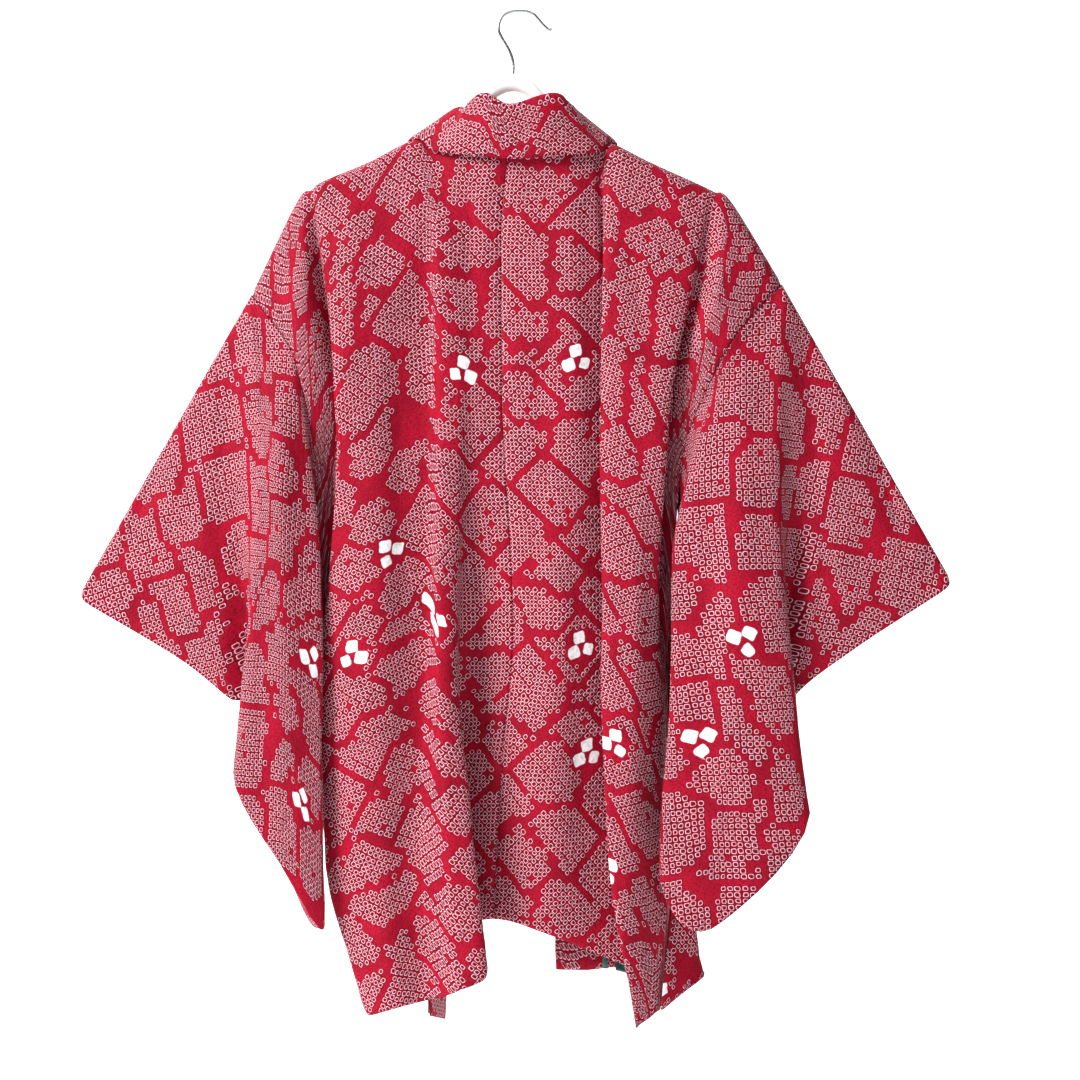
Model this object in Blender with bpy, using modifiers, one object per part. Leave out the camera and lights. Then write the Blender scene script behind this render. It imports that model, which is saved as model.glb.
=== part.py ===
"""A haori, a short kimono jacket, hung on a hanger and seen from the back.

The cloth is a thin wall. Each cut piece is a sheet laid through its fold lines, which hang from
the shoulders: a row of a table below is one fold line, or one line down a sleeve.
+X is the wearer's right, -Y the back, +Z up. The hook hangs on a rail that touches the origin.
Tables are in centimetres.
"""
import math
from bisect import bisect_right
from collections import namedtuple
from functools import lru_cache

import bmesh
import bpy
from mathutils import Vector

COLLECTION = "Haori on a hanger"
CM = 0.01

# Cloth: its wall and the gap at a seam in metres, cut sizes in centimetres
WALL = 0.0015
SEAM_GAP = 0.0004
BACK_LENGTH = 76.0
SHOULDER_ROUND = 1.3
SLEEVE_WIDTH = 33.0
ARMHOLE_SEWN = 23.0
CUFF_SEWN_FROM = 3.0
GUSSET_TOP = 36.0
GUSSET_GAP = 0.0009
GUSSET_LEAD = 0.25
SEAM_LEAD = 0.09
SEAM_LEAD_HOLD = 1.2
SLEEVE_FOLD_ROUND = 0.6
SLEEVE_FOLD_HALF = 0.3
SLEEVE_ROOT_HALF = 1.0
SLEEVE_ROOT_REACH = 8.0
SLEEVE_ROOT_EASE = 0.06
SLEEVE_EASE_REACH = 4.5
COLLAR_FOLD_HALF = 0.22
COLLAR_NECK_EASE = 0.12
COLLAR_EASE_REACH = 1.5

# Heights of a fold line as parts of its length: shoulder, yoke, arm, waist, hip and hem
LEVELS = (0.0, 0.11, 0.30, 0.62, 0.80, 1.0)
DROP_LEVELS = (0.0, 0.30, 1.0)
NECK_STATION = 4
NECK_CORNER = 3
SIDE_STATION = 9

# z at shoulder, arm and hem; x and y at each of LEVELS
Fold = namedtuple("Fold", "name z x y")

RIGHT_BACK = (
    Fold("centre seam", (-13.6, -35.9, -87.9),
         (-1.0, -1.7, -1.65, -0.6, -1.75, -2.6), (-2.7, -2.0, -2.0, -1.5, -1.0, -0.8)),
    Fold("centre ridge", (-13.7, -36.2, -89.0),
         (3.2, 3.2, 3.2, 3.6, 3.2, 2.4), (-2.6, -2.3, -2.4, -2.5, -2.4, -2.2)),
    Fold("centre slope", (-13.4, -37.2, -92.2),
         (6.6, 7.2, 7.6, 7.75, 8.25, 9.7), (-2.0, -1.8, -1.5, -1.2, -0.6, -0.4)),
    Fold("long valley", (-13.1, -37.8, -94.5),
         (7.8, 8.1, 9.4, 11.2, 12.6, 15.2), (-1.2, -1.2, -0.6, 0.3, 0.6, 0.6)),
    Fold("long crest", (-12.7, -38.4, -97.3),
         (9.0, 8.4, 7.8, 7.9, 8.5, 11.2), (-1.5, -2.2, -2.8, -3.8, -4.4, -5.0)),
    Fold("outer face", (-14.5, -39.4, -96.9),
         (12.6, 12.2, 11.3, 11.0, 11.0, 12.0), (-1.5, -2.4, -3.5, -4.1, -4.2, -4.9)),
    Fold("outer edge", (-16.8, -40.5, -96.6),
         (17.7, 16.5, 14.3, 13.2, 13.2, 12.5), (-1.5, -2.2, -3.1, -2.8, -2.6, -4.7)),
    Fold("arm channel", (-17.4, -42.0, -96.3),
         (18.9, 17.2, 11.6, 13.9, 14.0, 12.9), (-1.5, -1.0, -0.1, -1.9, -1.8, -4.5)),
    Fold("arm crest", (-18.4, -44.0, -96.1),
         (20.6, 18.8, 13.8, 14.1, 14.6, 13.2), (-1.3, -2.8, -0.9, -1.2, -1.0, -4.3)),
    Fold("side seam", (-26.4, -45.4, -95.9),
         (25.5, 19.8, 15.4, 14.5, 15.0, 13.5), (-1.0, -2.6, -1.6, -0.7, -0.3, -4.2)),
)

LEFT_BACK = (
    RIGHT_BACK[0],
    Fold("centre slope", (-13.7, -36.3, -89.6),
         (-3.2, -4.2, -4.4, -5.2, -6.6, -7.6), (-2.6, -2.2, -2.2, -0.7, 0.1, 0.6)),
    Fold("inner crest", (-13.5, -37.0, -92.2),
         (-6.2, -6.0, -6.0, -6.1, -4.6, -2.9), (-2.0, -2.3, -2.8, -3.5, -4.4, -5.2)),
    Fold("inner face", (-13.2, -37.5, -93.9),
         (-8.2, -7.8, -7.6, -7.7, -7.0, -5.8), (-1.3, -2.3, -2.9, -4.1, -4.9, -5.7)),
    Fold("long fold", (-12.4, -38.0, -95.2),
         (-10.3, -9.3, -9.1, -9.2, -9.7, -8.8), (-1.5, -1.8, -2.0, -2.5, -2.7, -3.4)),
    Fold("outer face", (-14.5, -39.0, -95.8),
         (-14.6, -14.2, -13.9, -13.6, -13.6, -11.6), (-1.5, -2.6, -3.4, -3.9, -3.9, -4.2)),
    Fold("outer edge", (-16.3, -40.2, -96.8),
         (-18.9, -18.4, -17.5, -18.7, -18.5, -14.4), (-1.5, -2.3, -3.1, -2.4, -2.3, -2.8)),
    Fold("arm channel", (-17.2, -42.0, -96.5),
         (-20.1, -19.0, -14.8, -18.9, -18.6, -14.8), (-1.5, -1.0, -0.1, -1.2, -1.3, -1.6)),
    Fold("arm crest", (-18.4, -44.0, -96.2),
         (-21.6, -20.3, -17.2, -18.9, -18.4, -14.9), (-1.3, -2.8, -0.9, -0.3, -0.3, -0.3)),
    Fold("side seam", (-27.4, -45.6, -95.8),
         (-26.0, -21.6, -19.6, -19.0, -18.4, -14.6), (-1.0, -2.6, -1.6, 0.3, 0.6, 1.0)),
)

# A front fold line starts at the shoulder point of its back one, so its z and x begin lower down
RIGHT_FRONT = (
    Fold("collar seam", (-37.5, -93.4), (9.3, 9.3, 9.2, 9.2, 9.2), (1.5, 2.0, 2.2, 2.2, 2.2, 2.4)),
    Fold("face", (-38.6, -94.2), (12.0, 11.4, 10.6, 10.6, 10.9), (1.5, 2.6, 3.6, 4.2, 4.6, 5.0)),
    Fold("crest", (-40.0, -94.4), (16.2, 14.2, 13.0, 13.4, 14.2), (1.5, 2.4, 3.2, 4.6, 5.0, 5.6)),
    Fold("channel", (-42.0, -94.2), (17.4, 12.0, 12.0, 12.4, 13.0), (1.5, 1.2, 1.0, 1.7, 1.8, 2.2)),
    Fold("arm crest", (-44.0, -93.5), (18.9, 14.0, 14.1, 15.4, 17.0), (1.3, 2.6, 1.3, 2.6, 2.8, 3.2)),
    Fold("side seam", (-45.4, -92.8), (19.8, 15.4, 14.1, 15.2, 17.5), (1.0, 2.4, 1.6, 1.0, 1.0, 0.8)),
)

LEFT_FRONT = (
    Fold("collar seam", (-37.5, -96.5), (-10.0, -9.9, -9.2, -8.8, -8.4),
         (1.5, 2.0, 2.2, 2.4, 3.4, 4.6)),
    Fold("face", (-38.6, -96.4), (-13.2, -12.8, -12.0, -11.6, -9.8),
         (1.5, 2.6, 3.4, 4.0, 4.2, 5.0)),
    Fold("crest", (-40.0, -96.2), (-17.6, -16.8, -16.4, -15.8, -12.0),
         (1.5, 2.4, 3.2, 4.8, 5.4, 6.6)),
    Fold("channel", (-42.0, -95.9), (-19.2, -14.8, -14.2, -13.8, -11.6),
         (1.5, 1.2, 1.0, 1.9, 2.2, 4.4)),
    Fold("arm crest", (-44.0, -95.7), (-20.5, -17.4, -17.6, -17.2, -13.6),
         (1.3, 2.6, 1.2, 2.4, 2.6, 5.4)),
    Fold("side seam", (-45.6, -95.6), (-21.6, -19.6, -18.6, -18.0, -14.4),
         (1.0, 2.4, 1.6, 1.7, 2.0, 4.2)),
)

# Middle of a gusset between the two side seams: x, y at waist and hip, x, y, z at the hem
GussetMiddle = namedtuple("GussetMiddle", "waist hip hem hem_z")
GUSSET_MIDDLES = {
    "right": GussetMiddle((15.0, 0.2), (16.4, 0.4), (17.75, -1.2), -93.2),
    "left": GussetMiddle((-19.3, 1.1), (-18.9, 1.4), (-13.2, 2.6), -95.7),
}

# A line down a sleeve. Place is its distance along the fold on top from the shoulder point, or
# less than 0 down the armhole seam. Each layer has x, y a third and two thirds down and at the
# bottom, where z is the same for both
SleeveLine = namedtuple("SleeveLine", "name place z back_upper back_lower back_bottom "
                                      "front_upper front_lower front_bottom")

RIGHT_SLEEVE = (
    SleeveLine("armhole end", -23.0, -67.0, (16.2, -2.2), (17.8, -2.8), (20.0, -2.9),
               (15.8, 0.4), (17.9, -1.9), (20.0, -2.2)),
    SleeveLine("inner turn", -16.0, -76.0, (15.6, -3.0), (16.4, -3.6), (16.6, -3.8),
               (15.9, 0.6), (16.6, -1.9), (16.6, -3.0)),
    SleeveLine("inner crest", -11.0, -82.5, (14.9, -3.6), (14.4, -4.6), (13.3, -4.8),
               (16.2, 0.8), (14.9, -1.2), (13.9, -3.4)),
    SleeveLine("bottom corner", -4.5, -87.8, (19.6, -4.4), (20.0, -5.6), (18.8, -5.0),
               (19.8, 0.9), (20.2, -1.0), (18.8, -3.6)),
    SleeveLine("shoulder point", 0.0, -77.2, (24.5, -3.4), (25.6, -4.8), (27.7, -4.4),
               (24.6, 1.2), (25.0, -0.6), (24.4, -1.7)),
    SleeveLine("cuff seam top", 3.0, -69.6, (26.2, -2.2), (25.6, -2.2), (24.6, -2.6),
               (26.6, 1.4), (26.2, 0.2), (25.0, -1.3)),
    SleeveLine("lower cuff", 11.0, -66.2, (29.8, -1.9), (28.4, -2.6), (26.4, -2.8),
               (29.8, 1.2), (28.6, 0.8), (26.4, -1.3)),
    SleeveLine("upper cuff", 22.0, -61.7, (35.2, -1.6), (33.8, -2.0), (32.2, -2.2),
               (35.2, 0.6), (33.8, 0.8), (32.2, -0.6)),
    SleeveLine("cuff tip", 33.0, -55.9, (41.6, -1.2), (41.5, -1.2), (41.3, -1.2),
               (41.6, -0.4), (41.5, -0.4), (41.3, -0.4)),
)

LEFT_SLEEVE = (
    SleeveLine("armhole end", -23.0, -68.0, (-20.4, -2.2), (-21.2, -2.5), (-23.0, -2.6),
               (-20.5, 0.4), (-21.4, -1.7), (-23.0, -1.9)),
    SleeveLine("inner turn", -16.0, -79.0, (-20.0, -3.0), (-20.2, -3.1), (-20.6, -3.1),
               (-20.6, 0.6), (-20.8, -1.6), (-20.8, -2.4)),
    SleeveLine("inner crest", -11.0, -88.0, (-19.6, -3.4), (-19.4, -3.9), (-18.9, -4.0),
               (-20.9, 0.8), (-20.0, -1.0), (-19.4, -2.8)),
    SleeveLine("bottom corner", -4.5, -82.7, (-23.0, -4.4), (-22.6, -4.8), (-22.3, -4.6),
               (-23.0, 0.8), (-22.8, -0.8), (-22.3, -2.4)),
    SleeveLine("shoulder point", 0.0, -73.3, (-24.8, -3.4), (-25.6, -4.6), (-27.2, -4.4),
               (-25.0, 1.1), (-25.2, -0.4), (-24.8, -1.5)),
    SleeveLine("cuff seam top", 3.0, -68.5, (-26.4, -2.2), (-26.0, -2.2), (-25.0, -2.5),
               (-26.8, 1.3), (-26.4, 0.2), (-25.6, -1.3)),
    SleeveLine("lower cuff", 11.0, -66.4, (-30.6, -1.9), (-29.6, -2.4), (-27.8, -2.6),
               (-30.6, 1.2), (-29.8, 0.8), (-27.8, -1.1)),
    SleeveLine("upper cuff", 22.0, -62.6, (-35.9, -1.6), (-34.4, -2.0), (-32.7, -2.2),
               (-35.9, 1.0), (-34.4, 0.8), (-32.7, -0.6)),
    SleeveLine("cuff tip", 33.0, -57.2, (-42.3, -1.2), (-42.2, -1.2), (-42.0, -1.2),
               (-42.3, -0.4), (-42.2, -0.4), (-42.0, -0.4)),
)

SLEEVE_LINES = {"right": RIGHT_SLEEVE, "left": LEFT_SLEEVE}
SLEEVE_TIPS = {"right": (41.75, -0.8, -55.1), "left": (-42.5, -0.8, -56.4)}
SLEEVE_ROOT_Y = -0.2

# The collar's folded edge as an offset from its seam, how far its outer layer stands off the
# panel, and how far it laps over the seam. Place is the station along the neckline up to the
# neck point, and from there the distance down the front; the left side is less than 0
CollarLine = namedtuple("CollarLine", "name place fold lift lap")
COLLAR_LINES = (
    CollarLine("left hem", -80.0, (1.2, 4.8, -1.2), 0.8, 0.3),
    CollarLine("left hip", -64.0, (3.2, 4.0, -0.8), 0.8, 0.3),
    CollarLine("left waist", -50.0, (5.0, 2.4, -0.3), 0.8, 0.4),
    CollarLine("left chest", -24.0, (5.6, 0.7, 0.0), 0.8, 0.4),
    CollarLine("left collarbone", -12.0, (5.3, 0.8, 1.0), 0.8, 0.4),
    CollarLine("left turn", -8.0, (5.0, 0.6, 3.4), 0.8, 0.4),
    CollarLine("left neck point", -4.0, (4.2, 0.3, 3.4), 0.4, 0.3),
    CollarLine("left neck corner", -3.0, (2.9, 0.3, 4.0), 0.9, 0.5),
    CollarLine("left neck", -2.0, (1.5, 0.0, 4.9), 0.9, 0.5),
    CollarLine("left nape", -1.0, (-0.1, 0.0, 5.5), 0.8, 0.4),
    CollarLine("nape notch", 0.0, (0.0, -0.3, 4.85), 0.9, 0.7),
    CollarLine("right nape", 1.0, (0.1, 0.0, 5.45), 0.8, 0.4),
    CollarLine("right neck", 2.0, (-2.0, 0.0, 4.8), 0.9, 0.5),
    CollarLine("right neck corner", 3.0, (-2.7, 0.2, 4.25), 0.9, 0.5),
    CollarLine("right neck point", 4.0, (-3.7, 0.3, 3.7), 0.4, 0.5),
    CollarLine("right turn", 8.0, (-4.5, 0.6, 3.6), 0.8, 0.4),
    CollarLine("right collarbone", 12.0, (-5.1, 0.8, 1.0), 0.8, 0.4),
    CollarLine("right chest", 24.0, (-5.6, 0.7, 0.0), 0.8, 0.4),
    CollarLine("right hem", 80.0, (-5.6, 0.7, 0.0), 0.8, 0.4),
)

# The hanger's arms by their distance from its middle: top line, height and half depth
ArmSection = namedtuple("ArmSection", "name along top height half_depth")
HANGER_MIDDLE = -0.6
HANGER_SECTIONS = (
    ArmSection("hump", 0.0, -6.0, 1.7, 0.6),
    ArmSection("hump shoulder", 1.6, -6.5, 1.8, 0.6),
    ArmSection("hump side", 3.4, -8.3, 2.2, 0.6),
    ArmSection("hump foot", 5.2, -10.3, 2.0, 0.6),
    ArmSection("neck", 7.2, -12.2, 1.8, 0.65),
    ArmSection("arm root", 9.2, -13.35, 1.6, 0.8),
    ArmSection("arm", 13.1, -14.86, 1.5, 1.0),
    ArmSection("arm end", 17.6, -16.88, 1.4, 1.05),
    ArmSection("tip", 19.6, -17.81, 1.1, 0.9),
    ArmSection("tip edge", 20.2, -18.3, 0.5, 0.5),
)
HANGER_SIDES = 12

# The hook's bent wire: x, z along its middle
HOOK_WIRE_RADIUS = 0.155
HOOK_STEP = 0.7
HOOK_BENDS = (
    (-0.6, -5.97), (-0.6, -4.6), (-1.2, -3.2), (-2.0, -1.75), (-1.95, -1.05), (-1.6, -0.35),
    (-0.9, 0.06), (0.0, 0.155), (0.9, 0.1), (1.55, -0.2), (2.05, -0.8), (2.5, -1.3),
    (2.95, -1.7), (3.25, -1.7),
)

# Distances down the fold lines at which the sheets have points, closer at the rounded shoulder
BODY_ROWS = (0, 0.45, 1.1, 2.4, 4.5, 7, 9.5, 12.5, 16, 19.5, 23, 27, 31.5, 36, 40, 44,
             50, 57, 64, 70, 76)
BODY_STATIONS = (0, 0.5, 0.75, 1, 1.25, 1.5, 2, 2.33, 2.67, 3, 3.33, 3.67, 4, 4.5, 5, 5.5,
                 6, 6.33, 6.67, 7, 7.33, 7.67, 8, 8.5, 9)
SLEEVE_TOP_PLACES = (3, 6, 10, 14, 18, 22, 26, 30, 33)
SLEEVE_ROWS = (0, 0.012, 0.035, 0.09, 0.18, 0.3, 0.43, 0.57, 0.71, 0.86, 1)

SIGNS = {"right": 1, "left": -1}

CRIMSON = (0.62, 0.012, 0.045, 1.0)
WHITE_PLASTIC = (0.85, 0.85, 0.84, 1.0)
STEEL = (0.8, 0.8, 0.8, 1.0)


def smooth(knots, values, at, steady=False):
    """Read a soft curve through the values at their knots. A steady one never passes them."""
    i = min(max(bisect_right(knots, at) - 1, 0), len(knots) - 2)

    def pitch(k):
        return (values[k + 1] - values[k]) * (1 / (knots[k + 1] - knots[k]))

    def slope(k):
        if k == 0:
            return pitch(0)
        if k == len(knots) - 1:
            return pitch(k - 1)
        if steady and pitch(k) * pitch(k - 1) <= 0:
            return 0
        if steady:
            return 2 / (1 / pitch(k) + 1 / pitch(k - 1))
        before = knots[k] - knots[k - 1]
        after = knots[k + 1] - knots[k]
        return (pitch(k) * before + pitch(k - 1) * after) * (1 / (before + after))

    span = knots[i + 1] - knots[i]
    t = (at - knots[i]) / span
    return (values[i] * (2 * t ** 3 - 3 * t ** 2 + 1)
            + slope(i) * (span * (t ** 3 - 2 * t ** 2 + t))
            + values[i + 1] * (3 * t ** 2 - 2 * t ** 3)
            + slope(i + 1) * (span * (t ** 3 - t ** 2)))


def rounded(distance, radius):
    """0 on a fold and 1 past its radius, round between."""
    left = 1 - min(distance / radius, 1)
    return math.sqrt(1 - left * left)


@lru_cache(maxsize=None)
def fold_point(fold, level):
    """A point on a fold line, at a part of its length."""
    return Vector((smooth(LEVELS, fold.x, level, steady=True),
                   smooth(LEVELS, fold.y, level, steady=True),
                   smooth(DROP_LEVELS, fold.z, level)))


BACK_FOLDS = tuple(reversed(LEFT_BACK[1:])) + RIGHT_BACK
BACK_STATIONS = tuple(range(-SIDE_STATION, SIDE_STATION + 1))
FRONT_STATIONS = tuple(range(NECK_STATION, SIDE_STATION + 1))


def hung_from_back(back, front):
    """Front fold lines that start at the shoulder points of the back ones."""
    return tuple(Fold(low.name, (top.z[0],) + low.z, (top.x[0],) + low.x, low.y)
                 for top, low in zip(back[NECK_STATION:], front))


FRONT_FOLDS = {"right": hung_from_back(RIGHT_BACK, RIGHT_FRONT),
               "left": hung_from_back(LEFT_BACK, LEFT_FRONT)}


def back_point(side, station, down):
    """A point on the back, by its station out from the centre seam and its distance down."""
    level = down / BACK_LENGTH
    points = [fold_point(fold, level) for fold in BACK_FOLDS]
    point = smooth(BACK_STATIONS, points, SIGNS[side] * station)
    on_shoulder = min(max(station - NECK_CORNER, 0), 1)
    point.y *= 1 - on_shoulder * (1 - rounded(max(down, 0), SHOULDER_ROUND))
    return point


def front_point(side, station, down):
    """A point on a front, likewise; near the shoulder it joins the back."""
    def drawn(level):
        points = [fold_point(fold, level) for fold in FRONT_FOLDS[side]]
        return smooth(FRONT_STATIONS, points, station)

    level = down / BACK_LENGTH
    point = drawn(level)
    join = (back_point(side, station, 0) - drawn(0)) * max(1 - level / LEVELS[1], 0)
    point.x += join.x
    point.z += join.z
    point.y *= rounded(max(down, 0), SHOULDER_ROUND)
    return point


# A point on a sheet's edge, the way its outer face looks, and the way off the edge
Edge = namedtuple("Edge", "at facing off")
STATION_STEP = 0.5
DOWN_STEP = 0.3
DOWN_STEP_GROWTH = 0.03
SURFACES = {"back": back_point, "front": front_point}
FIRST_STATION = {"back": 0, "front": NECK_STATION}
OUTWARD_TURN = {"back": -1, "front": 1}


def panel_edge(layer, side, station, down, across_edge):
    """A panel's edge at a point. Its way off is along the stations, or up at the neckline."""
    surface = SURFACES[layer]
    down_step = DOWN_STEP + DOWN_STEP_GROWTH * down
    at = surface(side, station, down)
    outer = surface(side, min(station + STATION_STEP, SIDE_STATION), down)
    inner = surface(side, max(station - STATION_STEP, FIRST_STATION[layer]), down)
    below = surface(side, station, down + down_step)
    above = surface(side, station, max(down - down_step, 0))
    facing = (outer - inner).cross(below - above).normalized() * (OUTWARD_TURN[layer] * SIGNS[side])
    off = across_edge * (outer - inner) if across_edge else above - below
    along = (below - above if across_edge else outer - inner).normalized()
    off = (off - along * off.dot(along)).normalized()
    return Edge(at, facing, off)


def side_edge(side, layer, down):
    return panel_edge(layer, side, SIDE_STATION, down, 1)


def collar_edge(side, down):
    return panel_edge("front", side, NECK_STATION, down, -1)


def neck_edge(side, station):
    return panel_edge("back", side, station, 0, 0)


def add_sheet(bm, columns, rows, place, turned):
    """A grid whose points are placed by their column and row."""
    wide = len(columns) - 1
    high = len(rows) - 1
    grid = bmesh.ops.create_grid(bm, x_segments=wide, y_segments=high, size=1)
    faces = set()
    for vert in grid["verts"]:
        column = columns[round((vert.co.x + 1) / 2 * wide)]
        row = rows[round((vert.co.y + 1) / 2 * high)]
        vert.co = place(column, row) * CM
        faces.update(vert.link_faces)
    if turned:
        bmesh.ops.reverse_faces(bm, faces=list(faces))


def make_material(name, colour, roughness, metallic=0.0):
    material = bpy.data.materials.new(name)
    material.use_nodes = True
    shader = material.node_tree.nodes["Principled BSDF"]
    shader.inputs["Base Color"].default_value = colour
    shader.inputs["Roughness"].default_value = roughness
    shader.inputs["Metallic"].default_value = metallic
    material.diffuse_color = colour
    return material


def add_object(name, data, material):
    data.materials.append(material)
    obj = bpy.data.objects.new(name, data)
    bpy.data.collections[COLLECTION].objects.link(obj)
    return obj


def make_cloth(name, bm):
    """A sheet of cloth as a wall, which grows inwards from its outer face."""
    bmesh.ops.remove_doubles(bm, verts=bm.verts, dist=1e-6)
    mesh = bpy.data.meshes.new(name)
    bm.to_mesh(mesh)
    bm.free()
    mesh.shade_smooth()
    obj = add_object(name, mesh, make_material(name + "_silk", CRIMSON, 0.7))
    wall = obj.modifiers.new("Wall", "SOLIDIFY")
    wall.thickness = WALL
    wall.offset = -1
    return obj


def make_panel(side):
    """One strip from the back hem over the shoulder to the front hem."""
    sign = SIGNS[side]
    half_gap = Vector((sign * SEAM_GAP / 2 / CM, 0, 0))

    def back(station, down):
        point = back_point(side, station, down)
        return point + half_gap if station == 0 else point

    def front(station, down):
        return front_point(side, station, down)

    bm = bmesh.new()
    front_stations = [station for station in BODY_STATIONS if station >= NECK_STATION]
    add_sheet(bm, BODY_STATIONS, BODY_ROWS, back, turned=sign > 0)
    add_sheet(bm, front_stations, BODY_ROWS, front, turned=sign < 0)
    make_cloth("panel_" + side, bm)


def make_gusset(side):
    """The narrow wedge between back and front, from below the open underarm to the hem."""
    middle = GUSSET_MIDDLES[side]
    gap = GUSSET_GAP / CM
    marks = (GUSSET_TOP, LEVELS[3] * BACK_LENGTH, LEVELS[4] * BACK_LENGTH, BACK_LENGTH)
    top = (side_edge(side, "back", GUSSET_TOP).at + side_edge(side, "front", GUSSET_TOP).at) / 2
    top.x += SIGNS[side] * GUSSET_LEAD

    def place(column, down):
        back = side_edge(side, "back", down)
        front = side_edge(side, "front", down)
        if column == "back seam":
            return back.at + back.off * gap
        if column == "back lead":
            return back.at + back.off * (gap + GUSSET_LEAD)
        if column == "front lead":
            return front.at + front.off * (gap + GUSSET_LEAD)
        if column == "front seam":
            return front.at + front.off * gap
        x = smooth(marks, (top.x, middle.waist[0], middle.hip[0], middle.hem[0]), down)
        y = smooth(marks, (top.y, middle.waist[1], middle.hip[1], middle.hem[1]), down)
        between = (back.at.z + front.at.z + (back.off.z + front.off.z) * GUSSET_LEAD) / 2
        return Vector((x, y, between if down < BACK_LENGTH else middle.hem_z))

    bm = bmesh.new()
    columns = ("back seam", "back lead", "middle", "front lead", "front seam")
    rows = [down for down in BODY_ROWS if down >= GUSSET_TOP]
    add_sheet(bm, columns, rows, place, turned=side == "right")
    make_cloth("gusset_" + side, bm)


def sleeve_top(side, layer, place):
    """Where a sleeve line starts: on the armhole seam, or on the fold on top."""
    gap = SEAM_GAP / CM + SLEEVE_ROOT_EASE * max(1 - abs(place) / SLEEVE_EASE_REACH, 0)
    if place < 0:
        seam = side_edge(side, layer, -place)
        return seam.at + seam.off * gap
    root = side_edge(side, layer, 0)
    start = root.at + root.off * gap
    end = Vector(SLEEVE_TIPS[side])
    along = place / SLEEVE_WIDTH
    top = start.lerp(end, along)
    top.y = min(place / SLEEVE_ROOT_REACH, 1) * SLEEVE_ROOT_Y + along * (end.y - SLEEVE_ROOT_Y)
    return top


def make_sleeve(side):
    """One length folded on top, sewn round the bottom and up to the hand opening."""
    lines = SLEEVE_LINES[side]
    places = [line.place for line in lines]
    thirds = (0.0, 1 / 3, 2 / 3, 1.0)

    def read(name, place):
        return smooth(places, [Vector(getattr(line, name)).to_3d() for line in lines], place)

    def layer_point(layer, place, row):
        top = sleeve_top(side, layer, place)
        upper = read(layer + "_upper", place)
        lower = read(layer + "_lower", place)
        bottom = read(layer + "_bottom", place)
        bottom.z = smooth(places, [line.z for line in lines], place)
        upper.z = top.z + (bottom.z - top.z) * thirds[1]
        lower.z = top.z + (bottom.z - top.z) * thirds[2]
        point = smooth(thirds, (top, upper, lower, bottom), row)
        if place < 0:
            seam = side_edge(side, layer, -place)
            flat = Vector((seam.facing.x, seam.facing.y, 0))
            straight = min(SEAM_LEAD_HOLD * max(1 - row / SEAM_LEAD, 0), 1)
            point -= flat * (point - top).dot(flat) * straight
        else:
            root = max(1 - place / SLEEVE_ROOT_REACH, 0) ** 2
            half = SLEEVE_FOLD_HALF + (SLEEVE_ROOT_HALF - SLEEVE_FOLD_HALF) * root
            radius = SLEEVE_FOLD_ROUND + (SHOULDER_ROUND - SLEEVE_FOLD_ROUND) * root
            below = row * (top - bottom).length
            fade = max(1 - row / thirds[1], 0)
            shift = half * rounded(below, radius) * fade
            point.y += shift if layer == "front" else -shift
        return point

    sign = SIGNS[side]
    seam_places = [-down for down in reversed(BODY_ROWS) if down <= ARMHOLE_SEWN]
    columns = seam_places + list(SLEEVE_TOP_PLACES)
    sewn = [place for place in columns if place <= CUFF_SEWN_FROM]

    bm = bmesh.new()
    add_sheet(bm, columns, SLEEVE_ROWS,
              lambda place, row: layer_point("back", place, row), turned=sign > 0)
    add_sheet(bm, columns, SLEEVE_ROWS,
              lambda place, row: layer_point("front", place, row), turned=sign < 0)
    add_sheet(bm, sewn, ("back", "front"),
              lambda place, layer: layer_point(layer, place, 1), turned=sign > 0)
    make_cloth("sleeve_" + side, bm)


def collar_seam(place):
    """The collar's seam edge, by its place on the neckline or down a front."""
    side = "right" if place >= 0 else "left"
    along = abs(place)
    if along < NECK_STATION:
        return neck_edge(side, along)
    return collar_edge(side, along - NECK_STATION)


def make_collar():
    """A long band folded in half, round the neck and down both fronts."""
    places = [line.place for line in COLLAR_LINES]

    def section(place, part):
        seam = collar_seam(place)
        ease = COLLAR_NECK_EASE * max(1 - abs(abs(place) - NECK_STATION) / COLLAR_EASE_REACH, 0)
        start = seam.at + seam.off * (SEAM_GAP / CM + ease) - seam.facing * (WALL / CM)
        fold = smooth(places, [Vector(line.fold) for line in COLLAR_LINES], place)
        lift = smooth(places, [line.lift for line in COLLAR_LINES], place)
        lap = smooth(places, [line.lap for line in COLLAR_LINES], place)
        end = seam.at + seam.facing * lift - seam.off * lap
        rise = fold.normalized()
        outer = end - start
        apart = (outer - rise * outer.dot(rise)).normalized() * COLLAR_FOLD_HALF
        tip = start + fold
        near = tip - apart - rise * COLLAR_FOLD_HALF
        far = tip + apart - rise * COLLAR_FOLD_HALF
        return {"seam": start, "inner middle": start.lerp(near, 0.5), "inner turn": near,
                "fold": tip, "outer turn": far, "outer middle": far.lerp(end, 0.5),
                "edge": end}[part]

    down_front = [NECK_STATION + down for down in BODY_ROWS]
    neckline = [station for station in BODY_STATIONS if 0 < station < NECK_STATION]
    half = neckline + down_front
    columns = [-place for place in reversed(half)] + [0] + half
    parts = ("seam", "inner middle", "inner turn", "fold", "outer turn", "outer middle", "edge")
    bm = bmesh.new()
    add_sheet(bm, columns, parts, section, turned=False)
    make_cloth("collar", bm)


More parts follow.
